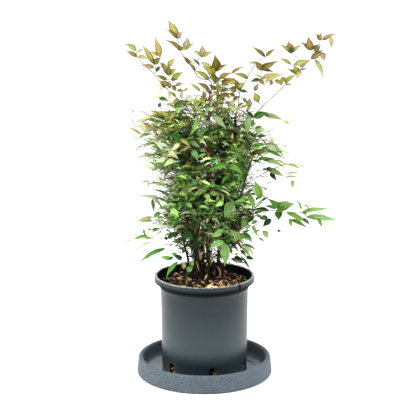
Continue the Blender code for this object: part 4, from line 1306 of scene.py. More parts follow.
# %% Low front
LOW_FRONT = """
116 front 0.4 -0.1 -0.13 green_stalk |
219 238, 222 240.4, 224 242 |
224 242 209.2 249.2 5.2 apple, 224 242.6 224.6 266 8 apple, 222 232.6 211 237.4 4.4 apple,
224.6 231.4 215.6 230.6 2.6 mint, 229 229 244.2 246.2 3.8 mint,
239 233.6 253.4 243.4 4.2 green, 243 233.6 252.4 239.8 3.2 pine, 243 244 257.4 251.8 2 pine,
242.6 244 255.2 257.8 3.8 cream, 245.6 258 254.4 259.8 2.2 ivy, 241 247 251 257.4 2.6 ash,
234 201.4 224 218.4 8.2 apple, 241.4 229.6 234 223.6 2.4 dead, 240 240 233 247.6 2.4 withered,
238 229 231 233.6 2.4 withered
"""
draw_sprays(LOW_FRONT)

# %% [markdown]
# Sprays on the front of the crown.
# The leaflets that catch the eye inside the crown are drawn like the wings, and the places where they lie are
# kept clear of the leaves that grow later.

# %% Inner sprays
INNER_SPRAYS = """
121 front 0.7 -0.09 -0.13 green_stalk |
208 141, 200 133, 192 128, 184 126, 176 130 |
181 139 167 135.6 4.5 pine, 190.4 141.8 200 148.2 4 apple, 179 138.6 190.6 147.6 4 khaki,
203 144.8 206.6 149.4 4 wine, 193 128 182 124.6 3.6 ivy, 182 127.6 191.4 131 3.8 ivy,
176 131 165 128 3.2 moss, 200 133 209 128.4 3.4 fern, 196 131 203 137.6 3.4 green,
187 127 178 120.6 3.2 olive

122 right 0.77 -0.03 -0.06 pink_stalk thickness=0.0027 |
231.8 121.4, 227 116, 221.8 110.5, 214 104, 207 99 |
211.4 114.6 226.6 129.4 6.2 ash, 224 117 236 131 4 pine,
215.5 113.4 222.4 106.2 2.4 pine, 227.8 111 219.6 108.4 3 rust,
231 105.6 240.4 114.6 2.6 khaki, 217 122.6 217.6 127.6 1.8 wine, 206 118 197.6 113 3 fern,
210 121 201 127 3.8 ash, 200 99 206.4 105 2.8 olive, 196.4 105 205.6 106.6 3 fern,
193 108 203.5 99.5 3.2 olive, 186 104 195 100.5 2.6 mustard, 197 112 189 106 2.8 moss,
205 112 214 106.5 3 green, 228 106 238.6 99 3 mustard, 216 110 224 103.6 2.4 khaki,
241 108 250 104.6 2.6 olive, 224 113 232.6 107 2.8 fern, 199 106 207 101.4 2.4 umber,
209 104 216.6 100 2.4 olive

123 front 0.62 -0.08 -0.12 brown_stalk |
222 162, 230 159, 238 155, 243 149 |
245 149.6 232 149.4 3.4 moss, 247 139 249.8 151.8 3.8 ivy, 240 153 230 158 4 fern,
208.8 145 221 149.8 3.4 fern, 200.4 148.4 219 152.8 1.8 bronze, 206.6 151.6 209.8 159 3 rust,
232.4 139.8 232.6 132.4 2.6 buff, 236 158 246 162.6 3.6 fern, 221 141 229.6 146 3.2 mint,
216 152 226 157 4 ivy

124 front 0.59 -0.1 -0.14 green_stalk |
214 174, 222 167, 230 164.6 |
230 164.6 206.6 172.4 5 fern, 229 165 243.4 174.8 4.6 green, 241 165 249.8 173.8 3.4 ivy,
229 169 232.8 181 3 ivy, 195.6 171.6 205.8 163.6 4.6 green, 199 172 210 167 3.8 fern,
196.6 170 189.2 165.4 2.8 lime, 191 166.4 180 167.6 3.2 olive, 192 150.6 197.8 160.6 6 cool,
199 150.4 207.4 151.8 3.2 apple, 191 147 178 153.6 2.2 khaki, 222 172 214 179 4.4 ivy,
205 172 213 178.4 4.2 pine, 216 160 207 163 3.4 pine

125 left 0.66 -0.06 -0.11 tan_stalk |
188 158, 184 152, 180 146 |
180 143 170.6 152.2 4 cream, 168 151.2 178.4 159.4 4.6 cream, 163 150 153 141 3.4 washed,
166 158 156 163 4.2 sage, 174 160 164 166.4 4.6 sage, 188 158 178 162.6 3.8 pine,
163 163 151.6 158 3 washed

126 front 0.5 -0.09 -0.13 green_stalk |
211 201, 207 195, 200 191 |
207 189.4 193.8 195.6 5.2 mint, 208.4 193.4 220.4 195 4.2 apple,
187 195 179.4 191.8 4.2 mint, 197 181 190.2 185.8 4.4 cool, 236 182 229.8 186.8 3.6 green,
204.4 178.6 205 183.2 2 lime, 196.6 175.6 197.2 181.2 2 buff, 223.6 202 215.2 206.6 4.6 mint,
186 203 192.2 208.6 4.2 mint, 247.8 200.6 233.8 202 3.2 fern, 250 206 243.4 207.8 3.2 lime,
203 203 195.4 205.6 2.8 lime, 216 186 224 191 3.8 pine, 196 198 188 201 3.4 fern

127 front_left 0.46 -0.08 -0.11 green_stalk |
196 215, 188 212.6, 180 210.6, 172 212 |
170.6 209 178.8 217.6 5.2 mint, 185 209 178.8 213.6 5.2 ivy,
190 210 197.2 215.8 5.4 ash, 177 205.4 160.4 206 1.8 mint,
179.6 219 169.8 225.8 3.8 pine, 187 219.4 179.6 225.8 5.6 ivy,
185 226 171.2 229.8 2.8 ash, 184 229.6 194.6 240.8 4.8 pine, 196 224 188.6 228 3.6 ivy,
176 214 166 217.6 2.6 fern, 191 218 200 222.4 3.6 fern, 199 222 206.4 227.6 2.4 lime,
190 232 181 235.4 3.8 pine

128 right 0.43 -0.04 -0.08 brown_stalk |
237 229, 232 222.6, 226 219.4 |
234.6 220 241.2 226.2 5.2 ivy, 231 225 239.8 232.2 2.8 withered, 238 216.4 245.2 216 2.6 withered,
230 216.6 223.6 219.6 2.2 withered, 229 240 238.2 243.8 3.2 green, 226 243 232.4 240.2 3.2 fern,
229 238 245.2 245.2 2.6 sage, 230 232 247.2 248.2 2.8 sage, 235 255 238.6 252.8 3.2 lime,
244 253 252.2 256.2 2.6 washed, 246 256 254.2 258.8 2.6 shade, 230 242 238.4 252.4 3.2 dead,
236 240 241.4 250.4 2.6 withered, 228 246 233 256 2.6 dead, 240 250 246.4 257 3.4 shade
"""
draw_sprays(INNER_SPRAYS, inside=True)

# %% [markdown]
# Bare stalks.
# Some stalks and two dark stems show between the leaves, with few leaflets of their own or none.

# %% Stalks that show
BARE_STALKS = """
131 middle 0.8 0 -0.03 pink_stalk thickness=0.001 |
213 101, 205 96.4, 195 95.4, 184 95.4 |
204.4 97 204.6 91.4 3.2 umber

132 left 0.785 -0.03 -0.05 brown_stalk thickness=0.0014 |
195.5 113, 188 107.4, 181 102.6 |

133 far_right 0.53 -0.05 -0.07 green_stalk thickness=0.001 |
246 182.7, 252.6 174, 250.6 167, 252.4 160 |

134 front 0.54 -0.1 -0.13 pink_stalk thickness=0.0018 |
215 181.6, 213.4 173, 212.4 164 |

135 front 0.53 -0.12 -0.14 green_stalk thickness=0.0014 |
202.4 188, 206 184.6, 211.4 183.6, 218.8 186.6 |

136 low_left 0.42 -0.02 -0.04 tan_stalk thickness=0.0012 |
180 231.6, 173 235.6, 167.6 238.4 |
167.8 238.2 163.8 239 3 shade

137 front_left 0.395 -0.05 -0.07 dead_stalk thickness=0.0009 |
183.5 249.4, 180 246, 179.2 238.4, 188 242 |

138 low_left 0.385 -0.01 -0.03 grey_stalk thickness=0.001 |
183 249.6, 176 245.2, 164 244.2, 151 244.2 |

139 back 0.38 0.05 0.058 green_stalk thickness=0.0013 |
236 248, 240 254.6 |
240.5 255.5 250.6 271.2 2.2 pine, 231 259 246 264.2 4.2 ash, 234 256.6 244 261 3.2 shade

140 right 0.64 -0.005 -0.01 maroon_stalk thickness=0.0044 |
236.4 152, 235.8 140, 235.2 126, 235.8 112.6 |

141 left 0.33 -0.035 -0.05 dead_stalk thickness=0.004 |
198.6 262, 197.8 250, 198.4 236, 199.4 222 |
198 256 204.4 251.6 2.6 straw, 199 236 201 229 1.6 buff
"""
draw_sprays(BARE_STALKS)

# %% [markdown]
# Room for what shows.
# A grown leaflet is left out in the windows where the photograph shows white, and where it would hide a
# traced leaflet or the dark stem. A window is left, top, right and bottom in the picture.

# %% Places kept open
SKY_WINDOWS = np.array(table("""
247 157 262 187, 162 171 176 185, 232 208 242 213, 249 224 257 240, 183 107 195 116, 200 220 206 238,
240 187 249 194, 184 60 199 98, 241 94 250 106, 162 214 168 224, 186 247 196 262, 216 208 221 214,
147 168 160 178, 136 168 150 190, 229 250 236 262, 192 214 196 219, 184 232 189 239, 212 220 216 229,
170 184 175 190
"""))
STEM_WINDOW = (232.6, 108.0, 238.0, 145.0)
STEM_DEPTH = 0.02
windows = np.vstack([np.insert(SKY_WINDOWS, 4, math.inf, axis=1), [*STEM_WINDOW, STEM_DEPTH]])


def kept_open(base, tip):
    """True for leaflets whose middle lies in a window, or in front of a traced leaflet."""
    middle = (base + tip) / 2
    across, down = picture_place(middle).T[..., None]
    depth = middle[:, 1:2]
    left, top, right, bottom, window_depth = windows.T
    in_window = (across > left) & (across < right) & (down > top) & (down < bottom) & (depth < window_depth)
    spot_x, spot_y, spot_radius, spot_depth = np.array(clear_spots).T
    over_leaflet = (np.hypot(across - spot_x, down - spot_y) < spot_radius) & (depth < spot_depth + 0.01)
    return in_window.any(axis=1) | over_leaflet.any(axis=1)


# %% [markdown]
# The crown's reach.
# How far the body of the crown reaches to each side was read from its outline at a dozen heights. The front
# and back can't be seen and are taken as full as the sides. Between the four sides the reach follows an
# ellipse.

# %% Crown outline
# Each entry is a height and the reach there to the left, right, front and back.
REACH = np.array(table("""
.33 .06 .05 .03 .06, .38 .09 .09 .04 .12, .42 .105 .12 .05 .15, .46 .125 .14 .1 .17, .52 .13 .145 .15 .18,
.59 .13 .145 .165 .19, .66 .165 .15 .165 .185, .735 .2 .145 .15 .175, .8 .13 .125 .11 .14,
.85 .045 .115 .06 .095, .91 .02 .09 .04 .06, .95 .01 .04 .02 .02
""")).T


def crown_reach(angle, height):
    """How far the crown's body reaches from the middle line, at angles and heights."""
    left, right, front, back = [np.interp(height, REACH[0], reach) for reach in REACH[1:]]
    across = np.where(np.cos(angle) < 0.0, left, right)
    along = np.where(np.sin(angle) < 0.0, front, back)
    return 1.0 / np.sqrt((np.cos(angle) / across) ** 2 + (np.sin(angle) / along) ** 2)


# %% [markdown]
# One compound leaf.
# What looks like a branch is one leaf of the shrub. Its stalk leaves the cane, arches out and droops. At
# swollen joints it bears pairs of side stalks. Each of those ends in a trio of leaflets, and the longer ones
# have another trio halfway. Every leaflet hangs a little and keeps its upper side to the light.

# %% Compound leaf function
LEAFLET_LENGTH = 0.042
PINNA_LENGTH = 0.054
LOWEST_LEAFLET = 0.335
TOP_FLOOR = 0.805
TOP_THINNING = 0.25
PALE_SIDE = -0.10
# Dark tones for leaflets deep in the crown, as painted shade.
SHADE_TONES = ("ivy", "pine", "shade", "moss")
BRONZE_LOW, BRONZE_FADE, BRONZE_SHARE = 0.755, 0.08, 0.9
PALE_X, PALE_SHARE = -0.08, 0.66
HIGH_Z, HIGH_SHARE = 0.66, 0.55
BRONZE_FAMILY = ("olive", "mustard", "umber", "khaki", "bronze", "moss")
PALE_FAMILY = ("washed", "sage", "mint", "washed", "ash", "mint")
HIGH_FAMILY = ("olive", "fern", "moss", "green", "khaki", "mustard")
GREEN_FAMILIES = (
    (0.26, ("pine", "ivy", "fern", "pine", "green", "ivy")),
    (0.50, ("green", "ivy", "sage", "apple", "fern", "washed")),
    (0.76, ("fern", "pine", "green", "moss", "mint", "sage")),
    (1.00, ("mint", "fern", "apple", "cool", "pine", "lime")),
)
FAMILY_SHARES = (0.26, 0.22, 0.18, 0.14, 0.11, 0.09)
# Pale tones for leaflets near the outline, as painted highlights.
PAINTED_HIGHLIGHTS = ((0.86, "sage"), (0.91, "washed"), (0.97, "cream"))
WITHERED_SHARE = 0.010
SHADE_SHARE = 0.85
FINE_HEIGHTS, FINE_SHARES = (0.77, 0.83), (1.0, 0.55)
TRIO = ((0.0, 1.0, 1.0), (1.0, 0.62, 0.84), (-1.0, 0.62, 0.84))


def leaf_family(height, x, rng):
    """The tones of a compound leaf's leaflets: bronze high up, green below, pale at the lit left edge."""
    if rng.uniform() < np.clip((height - BRONZE_LOW) / BRONZE_FADE, 0.0, 1.0) * BRONZE_SHARE:
        return BRONZE_FAMILY
    if x < PALE_X and rng.uniform() < PALE_SHARE:
        return PALE_FAMILY
    if height > HIGH_Z and rng.uniform() < HIGH_SHARE:
        return HIGH_FAMILY
    pick = rng.uniform()
    return next(family for share, family in GREEN_FAMILIES if pick < share)


def trio_leaflets(rng, bases, axes, sides, family, size, droop, margin):
    """A trio at the end of each side stalk: one leaflet on and one to each hand.

    Leaflets past the crown's outline are dropped, but for a few. The ones deep inside take dark tones as
    painted shade, ones out towards the outline some pale tones as painted highlights, and the ones past the
    outline, but for the lit left side, the tones of the open.
    """
    count = len(bases)
    parts = []
    outward = unit(bases * LEVEL)
    for hand, share, scale in TRIO:
        way = axes * share + sides * hand * 0.78 + outward * 0.42
        way = way - UP * rng.uniform(-0.25, 0.55, (count, 1)) * droop
        way = unit(way + rng.normal(0.0, 0.15, (count, 3)))
        length = size * scale * rng.uniform(0.60, 1.35, count)
        base = bases + way * 0.0025
        parts.append(np.column_stack([base, base + way * length[:, None], length]))
    base, tip, length = np.split(np.concatenate(parts), (3, 6), axis=1)
    length = length[:, 0]
    total = len(tip)
    angle = np.arctan2(tip[:, 1], tip[:, 0])
    beyond = np.hypot(tip[:, 0], tip[:, 1]) / crown_reach(angle, tip[:, 2])
    kept = (beyond < margin + rng.exponential(0.09, total)) & (tip[:, 2] > LOWEST_LEAFLET)
    kept &= ~kept_open(base, tip)
    kept &= (rng.uniform(size=total) > TOP_THINNING) | (tip[:, 2] < TOP_FLOOR)
    kept &= (tip[:, 1] > cad_box[0].y) & (tip[:, 1] < cad_box[1].y)
    face = UP * 0.8 + unit(tip * LEVEL) * 0.50 + rng.normal(0.0, 0.32, tip.shape)
    tones = np.array([tone(name) for name in rng.choice(family, total, p=FAMILY_SHARES)])
    deep = np.array([tone(name) for name in rng.choice(SHADE_TONES, total)])
    # Painted shade: the deeper inside the crown, the likelier a dark tone.
    deep_share = SHADE_SHARE * np.clip((0.88 - beyond) / 0.30, 0.0, 1.0)
    tones = np.where(rng.uniform(size=total) < deep_share, deep, tones)
    # Painted highlights: pale tones on leaflets near the outline.
    accent = rng.uniform(size=total)
    for share, name in PAINTED_HIGHLIGHTS:
        tones = np.where((accent > share) & (beyond > 0.7), tone(name), tones)
    tones = np.where(accent < WITHERED_SHARE, tone("withered"), tones)
    tones = tones + len(TONES) * ((beyond > 1.0) & (tip[:, 0] > PALE_SIDE))
    if kept.any():
        width, fold, sag = [rng.uniform(low, high, total)
                            for low, high in ((0.15, 0.245), (0.10, 0.45), (0.03, 0.16))]
        values = (base, tip, face, length * width, fold, sag, tones)
        keep_leaves(*[value[kept] for value in values])


def grow_leaf(rng, start, out, target, stalk_tone, joints=3, size=1.0, droop=0.7, family=None,
              thickness=0.0014, margin=1.02):
    """One compound leaf from its start on a cane to its target, leaving along the direction out.

    The margin is how far past the crown's outline its leaflets may reach, as a share of the outline.
    """
    span = np.linalg.norm(target - start)
    level = unit((target - start) * LEVEL)
    share = np.linspace(0.0, 1.0, 25)[:, None]
    first = start + unit(out) * span * 0.36
    second = target - level * span * 0.28 + UP * span * 0.12
    rest = 1 - share
    line = (rest ** 3 * start + 3 * rest ** 2 * share * first + 3 * rest * share ** 2 * second
            + share ** 3 * target)
    shares = np.linspace(0.40 if joints > 2 else 0.6, 0.96, joints)
    fineness = float(np.interp(target[2], FINE_HEIGHTS, FINE_SHARES))
    keep_stalk(line, thickness * fineness, thickness * fineness * 0.5, stalk_tone, STALK_STEPS, shares)
    family = family or leaf_family(target[2], target[0], rng)
    tangents = unit(np.gradient(line, axis=0))
    ends = []
    for along in shares:
        place = int(np.clip(int(along * 24), 0, 24))
        joint = line[place]
        cross = unit(np.cross(tangents[place], UP))
        for hand in (1.0, -1.0):
            way = tangents[place] * 0.62 + cross * hand * 0.75 + UP * rng.uniform(-0.25, 0.22)
            way = unit(way + rng.normal(0.0, 0.14, 3))
            length = PINNA_LENGTH * size * (1.25 - 0.75 * along) * rng.uniform(0.75, 1.25)
            end = joint + way * length - UP * length * 0.12
            middle = joint + way * length * 0.55
            keep_stalk([joint, middle, end], 0.00085 * fineness, 0.0006 * fineness, stalk_tone, TWIG_STEPS,
                       (0.55,))
            side = unit(np.cross(way, UP))
            ends.append((end, way, side))
            if length > PINNA_LENGTH * size * 0.78:
                ends.append((middle, way * 0.5 - UP * 0.3, side * 1.3))
    ends.append((line[-1], tangents[-1], unit(np.cross(tangents[-1], UP))))
    bases, axes, sides = np.array(ends).transpose(1, 0, 2)
    trio_leaflets(rng, bases, axes, sides, family, LEAFLET_LENGTH * size, droop, margin)


# %% [markdown]
# The frame's sprays.
# Eight of the frame's sprays are carried by a compound leaf of their own, which grows from the cane to the
# spray's tip. Where traced sprays stand too, it is smaller.

# %% Grown sprays
GROWN_SPRAYS = {
    "left_upper": ("back_left", 0.650, (-0.215, 0.030, 0.790)),
    "right_upper": ("far_right", 0.665, (0.235, -0.066, 0.706)),
    "right_middle": ("far_right", 0.580, (0.285, -0.030, 0.642)),
    "front_low": ("front", 0.400, (0.054, -0.182, 0.405)),
    "front_middle": ("front", 0.560, (-0.045, -0.215, 0.600)),
    "back_top": ("back", 0.700, (0.004, 0.235, 0.850)),
    "back_low": ("back", 0.430, (-0.005, 0.245, 0.440)),
    "back_right": ("back_right", 0.560, (0.180, 0.190, 0.645)),
}
TRACED_SIDE = ("left_upper", "right_upper", "right_middle", "front_low")
for number, (name, (cane, height, target)) in enumerate(GROWN_SPRAYS.items()):
    start = cane_points(cane, height)[0]
    out = (np.array(target) - start) * LEVEL + UP * 0.12
    size, margin = (0.8, 1.02) if name in TRACED_SIDE else (1.1, 2.5)
    grow_leaf(np.random.default_rng(200 + number), start, out, np.array(target), "green_stalk", size=size,
              droop=0.5, margin=margin)

# %% [markdown]
# The body of the crown.
# Compound leaves come off the canes all the way up and all the way round. Each picks a height, a heading
# and how far out it reaches, and starts from the cane that stands nearest below its target. Golden angle
# steps of the heading spread them evenly. Short ones fill the middle, so no side shows a hollow.

# %% Crown growth
BODY_LEAVES = 244
GOLDEN_STEP = math.radians(137.508)
BODY_STALKS = ("green_stalk", "tan_stalk", "pink_stalk", "brown_stalk")
BODY_LOW = 0.405
BODY_HIGH = 0.828

rng = np.random.default_rng(77)
cane_names = list(CANES)


def cane_start(target, rng):
    """A start on the cane that stands nearest below a target, and the level way from there to the target."""
    best = None
    for name in cane_names:
        top = CANES[name][3]
        leave = min(top - 0.004, target[2] - rng.uniform(0.02, 0.09))
        if leave < MIX_TOP_Z + 0.05:
            continue
        point = cane_points(name, leave)[0]
        toward = unit((target - point) * LEVEL)
        gap = np.linalg.norm(target - point)
        cost = gap + 0.6 * max(0.0, target[2] - 0.03 - top) + (0.05 if gap < 0.06 else 0.0)
        if best is None or cost < best[0]:
            best = (cost, point, toward)
    return best[1:]


for number in range(BODY_LEAVES):
    share = (number + 0.5) / BODY_LEAVES
    rise = np.interp(share, (0.0, 0.09, 0.93, 1.0), (0.0, 0.15, 0.82, 1.0))
    height = BODY_LOW + (BODY_HIGH - BODY_LOW) * rise + rng.normal(0.0, 0.012)
    angle = number * GOLDEN_STEP + rng.normal(0.0, 0.15)
    outward = rng.choice((0.40, 0.66, 0.84), p=(0.26, 0.30, 0.44)) + rng.normal(0.0, 0.05)
    reach = float(crown_reach(np.array(angle), height)) * outward
    target = np.array([reach * math.cos(angle), reach * math.sin(angle), height])
    start, toward = cane_start(target, rng)
    out = toward * 0.85 + UP * rng.uniform(0.30, 0.85)
    stalk_tone = rng.choice(BODY_STALKS, p=(0.55, 0.15, 0.06, 0.24))
    grow_leaf(rng, start, out, target, stalk_tone, joints=4 if outward > 0.6 else 3,
              size=rng.uniform(0.85, 1.12), droop=rng.uniform(0.5, 1.0))
print("body leaves", BODY_LEAVES)

# %% [markdown]
# Leaves at both sides.
# At the left and right the outline is ragged: single leaves reach past the body, pale ones at the left.

# %% Side leaves
SIDE_TARGETS = np.array(table("""
-0.16 0 0.742, -0.145 0.06 0.775, -0.165 -0.045 0.705, -0.15 0.02 0.668, -0.14 -0.04 0.632, -0.14 0.03 0.59,
-0.13 -0.02 0.548, -0.138 0.005 0.5, -0.145 0.02 0.455, -0.13 -0.045 0.425, -0.105 0.02 0.795,
0.16 -0.03 0.745, 0.165 0.02 0.712, 0.172 -0.05 0.668, 0.176 0.01 0.625, 0.165 -0.025 0.578,
0.16 -0.045 0.532, 0.155 0 0.485, 0.145 -0.03 0.44, 0.105 -0.02 0.795, 0.06 0.04 0.85
"""))
rng = np.random.default_rng(83)
for target in SIDE_TARGETS:
    start, toward = cane_start(target, rng)
    grow_leaf(rng, start, toward * 0.9 + UP * 0.4, target, rng.choice(("green_stalk", "tan_stalk")),
              size=rng.uniform(0.80, 1.05), droop=0.6, thickness=0.0011, margin=1.30)

# %% [markdown]
# The low tangle.
# Round the canes' lower half hang small dark leaves on thin stalks. They leave the front open, where the
# canes show.

# %% Low growth
LOW_LEAVES = 64
GAP_TOP = 0.40
LOW_STALKS = ("brown_stalk", "green_stalk", "dead_stalk")
LOW_FAMILY = ("pine", "ivy", "fern", "moss", "green", "mint")
FRONT_GAP = (-0.045, 0.050)


def level_way(rng):
    """A level direction, drawn from all round."""
    turn = rng.uniform(0.0, 2.0 * math.pi)
    return np.array([math.cos(turn), math.sin(turn), 0.0])


rng = np.random.default_rng(88)
for number in range(LOW_LEAVES):
    name = rng.choice(cane_names)
    start = cane_points(name, rng.uniform(0.345, 0.47))[0]
    away = level_way(rng)
    target = start + away * rng.uniform(0.025, 0.085) + UP * rng.uniform(-0.012, 0.035)
    if target[1] < -0.045 and FRONT_GAP[0] < target[0] < FRONT_GAP[1] and target[2] < GAP_TOP:
        target[1] = 0.5 * target[1] + 0.05
    grow_leaf(rng, start, away + UP * 0.3, target, rng.choice(LOW_STALKS), joints=2,
              size=rng.uniform(0.55, 0.85), family=LOW_FAMILY, thickness=0.0009, margin=1.25)

# %% [markdown]
# Dead stubs and old sheaths.
# Stubs of old shoots stand round the canes' feet. Leaf bases wrap a cane like sheaths, dry to paper and stay
# on, and some dead leaflets hang there too, brown and curled.

# %% Sheaths
STUB_COUNT = 54
STUB_TONES = ("brown_stalk", "maroon_stalk", "dead_stalk")
SHEATH_COUNT = 170
SHEATH_TONES = ("straw", "withered", "mauve", "buff", "dead")
SHEATH_SHARES = (0.06, 0.34, 0.08, 0.06, 0.46)
DEAD_COUNT = 90
DEAD_TONES = ("withered", "dead", "straw", "rust")
DEAD_SHARES = (0.35, 0.45, 0.08, 0.12)
FOOT_DEPTH = -0.020
FOOT_SHEATHS = """
204 251 203.6 240.6 1.6 straw, 200.6 260 199.6 251.4 3.4 buff, 195.6 261 199.2 272 2 straw,
197.6 238 198.2 231 1.6 buff, 211.6 266 211.8 255 1.8 rust, 206.6 262 206 254 1.8 buff
"""


def face_on_leaflet(base, tip, shown, fold, sag, name):
    """Store a leaflet that lies nearly flat to the lens, shown pixels wide."""
    width = shown * METRES_PER_PIXEL
    keep_leaves(base, tip, face_for_width(base, tip, width, width * 1.1), width * 1.1, fold, sag, tone(name))


rng = np.random.default_rng(61)
for number in range(STUB_COUNT):
    out = level_way(rng)
    foot = CLUMP + out * rng.uniform(0.004, 0.026) - RIGHT * 0.014 + UP * (MIX_TOP_Z - 0.004)
    top = foot + out * rng.uniform(-0.02, 0.030)
    top = top + UP * rng.choice((0.03, 0.07, 0.13, 0.20)) * rng.uniform(0.8, 1.2)
    middle = (foot + top) / 2 + rng.normal(0.0, 0.004, 3)
    keep_stalk([foot, middle, top], rng.uniform(0.0010, 0.0030), 0.0009,
               rng.choice(STUB_TONES, p=(0.3, 0.1, 0.6)), STALK_STEPS, (0.25, 0.5, 0.75))

rng = np.random.default_rng(51)
sheaths = []
for name in rng.choice(cane_names, SHEATH_COUNT):
    height = min(MIX_TOP_Z + 0.008 + rng.gamma(1.4, 0.055), CANES[name][3] - 0.03)
    point = cane_points(name, height)[0]
    out = level_way(rng)
    thickness = CANES[name][4] / 2
    tip = point + out * (thickness + rng.uniform(0.001, 0.005)) + UP * rng.uniform(0.010, 0.026)
    sheaths.append((point + out * thickness * 0.8, tip, -out))
sheath_tones = [tone(name) for name in rng.choice(SHEATH_TONES, SHEATH_COUNT, p=SHEATH_SHARES)]
widths = rng.uniform(0.004, 0.009, SHEATH_COUNT)
keep_leaves(*np.array(sheaths).transpose(1, 0, 2), widths, 0.9, 0.05, sheath_tones)

for number in range(DEAD_COUNT):
    name = rng.choice(cane_names)
    point = cane_points(name, rng.uniform(0.305, min(0.56, CANES[name][3] - 0.02)))[0]
    away = level_way(rng)
    end = point + away * rng.uniform(0.012, 0.045) - UP * rng.uniform(0.0, 0.02)
    keep_stalk([point, (point + end) / 2 + UP * 0.006, end], 0.0008, 0.0005, "brown_stalk", TWIG_STEPS)
    way = unit(away * 0.3 - UP + rng.normal(0.0, 0.35, 3))
    keep_leaves(end, end + way * rng.uniform(0.018, 0.036), away + rng.normal(0.0, 0.4, 3),
                rng.uniform(0.005, 0.009), rng.uniform(0.5, 1.1), rng.uniform(0.08, 0.2),
                tone(rng.choice(DEAD_TONES, p=DEAD_SHARES)))

for base_x, base_y, tip_x, tip_y, shown, name in table(FOOT_SHEATHS):
    base = at_depth(base_x, base_y, FOOT_DEPTH)
    face_on_leaflet(base, at_depth(tip_x, tip_y, FOOT_DEPTH - 0.002), shown, 0.6, 0.05, name)

# %% [markdown]
# A shoot and litter in the pot.
# A small shoot stands in front of the canes with two fresh leaflets, and straw leaves lie on the mix.

# %% Growth in the pot


def on_mix(across, down, lift=0.002):
    """The point of the mix's surface seen at a picture place."""
    point = at_height(across, down, MIX_TOP_Z)
    return at_height(across, down, float(mix_height(point[:1], point[1:2])[0]) + lift)


SHOOT_FOOT = (186, 284)
SHOOT_BEND = (186.4, 278)
SHOOT_TOP = (187.4, 272)
SHOOT_JOINT = (191, 266.4)
SHOOT_TIPS = ((193.8, 266), (194.4, 259.6))
# The blades of dead leaves on the mix: place of the base, place of the tip, width and tone.
LITTER = """
193 285 203.4 287.4 2.2 straw, 238 280 244 275.6 1.8 buff, 246.4 279.4 241.4 275 1.6 rust,
231.6 268 240 270.4 1.2 washed, 176 281 170 277 1.4 buff
"""
shoot_foot = on_mix(*SHOOT_FOOT, -0.003)
shoot_top = at_depth(*SHOOT_TOP, shoot_foot[1] + 0.004)
shoot_joint = at_depth(*SHOOT_JOINT, shoot_top[1] + 0.004)
shoot_line = [shoot_foot, at_depth(*SHOOT_BEND, shoot_foot[1] + 0.001), shoot_top]
keep_stalk(shoot_line, 0.0017, 0.0010, "green_stalk", TWIG_STEPS)
keep_stalk([shoot_top, shoot_joint], 0.0009, 0.0007, "green_stalk", TWIG_STEPS)
face_on_leaflet(shoot_top, at_depth(*SHOOT_TIPS[0], shoot_top[1] + 0.006), 5.4, 0.2, 0.08, "apple")
face_on_leaflet(shoot_joint, at_depth(*SHOOT_TIPS[1], shoot_joint[1] + 0.006), 5.0, 0.2, 0.08, "mint")
for base_x, base_y, tip_x, tip_y, shown, name in table(LITTER):
    keep_leaves(on_mix(base_x, base_y), on_mix(tip_x, tip_y), UP + 0.2 * RIGHT,
                shown * METRES_PER_PIXEL * 1.5, 0.45, 0.03, tone(name, True))

# %% [markdown]
# Below the plant.
# A bit of dead stalk lies in the saucer, and thin roots show in the drain slots.

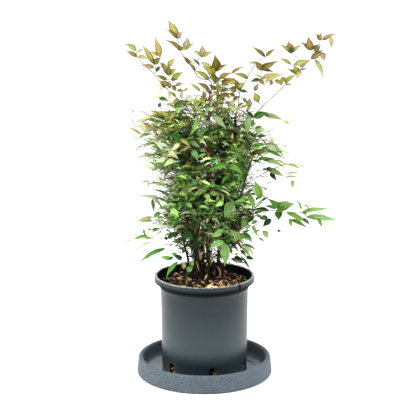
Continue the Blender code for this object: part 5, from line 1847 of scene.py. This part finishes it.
# %% Bits below the plant
FALLEN_STALK = ((0.131, 0.085), (0.146, 0.062), (0.157, 0.037))
keep_stalk([(x, y, SAUCER_FLOOR + 0.0013) for x, y in FALLEN_STALK], 0.0013, 0.0006, "dead_stalk", TWIG_STEPS)
ROOTS_PER_SLOT = 9
ROOT_STEPS = 8
rng = np.random.default_rng(91)
root_lines = []
for angle in SLOT_ANGLES:
    for number in range(ROOTS_PER_SLOT):
        turn = angle + rng.uniform(-0.075, 0.075) + np.cumsum(rng.normal(0.0, 0.012, 4))
        reach = np.array([0.1185, 0.1235, 0.1250, 0.1225]) + rng.uniform(-0.0015, 0.0015)
        height = rng.uniform(0.018, 0.046) + np.cumsum(rng.normal(0.0, 0.004, 4))
        root = np.stack([reach * np.cos(turn), reach * np.sin(turn), height], axis=-1)
        root_lines.append(smooth_line(root, ROOT_STEPS))
root_radii = np.repeat(rng.uniform(0.0005, 0.0013, (len(root_lines), 1)), ROOT_STEPS, axis=1)
root_points, root_faces = tubes(np.array(root_lines), root_radii, 4)
roots = make_piece("slot_roots", root_points, root_faces, [plain_finish("tan_root", "#8a7350", 0.8)])
finish_piece(roots, "potting_mix")

# %% [markdown]
# The stalk and leaf pieces.
# Stalks of equal step count are made together. All leaflets of one level make one piece, which keeps each
# piece small and lets it stand for the frame's masses of that level.

# %% Stalk pieces
STALK_SIDES = {STALK_STEPS: 6, TWIG_STEPS: 4}
stalk_materials = [plain_finish(name, code, 0.55) for name, code in STALK_TONES.items()]
boughs = [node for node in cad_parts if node.startswith("bough_")]
for steps, stalks in sorted(stalk_store.items()):
    stalk_lines, stalk_radii, stalk_tones = zip(*stalks)
    points, faces = tubes(stalk_lines, stalk_radii, STALK_SIDES[steps])
    tones = np.repeat(stalk_tones, len(faces) // len(stalks))
    main = steps == STALK_STEPS
    piece = make_piece("leaf_stalks" if main else "side_stalks", points, faces, stalk_materials, tones)
    finish_piece(piece, "leaf_stalk", *(boughs if main else []))

# %% [markdown]
# Four levels of leaves.
# A frame's mass belongs to the level of its middle. A piece takes only the leaf materials that it uses.

# %% Leaf pieces
rows = len(LEAF_ROWS)
columns = len(LEAF_COLUMNS)
one_leaf = grid_faces(rows, columns, False)
bands = BAND_PARTS.ravel()
masses = defaultdict(list)
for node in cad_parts:
    if node.endswith("_foliage"):
        low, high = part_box(node)
        masses[level_of((low.z + high.z) / 2)].append(node)
for level, groups in leaf_store.items():
    leaves = Leaves(*[np.concatenate(values) for values in zip(*groups)])
    points = leaf_points(leaves)
    count = len(leaves.base)
    slots = tone_slots[leaves.tone.astype(int)][:, bands].ravel()
    used, slots = np.unique(slots, return_inverse=True)
    piece = make_piece(level + "_leaves", points, repeated(one_leaf, count, rows * columns),
                       [leaf_materials[number] for number in used], slots)
    finish_piece(piece, "foliage", *masses[level])
    print(level, count, "leaflets")
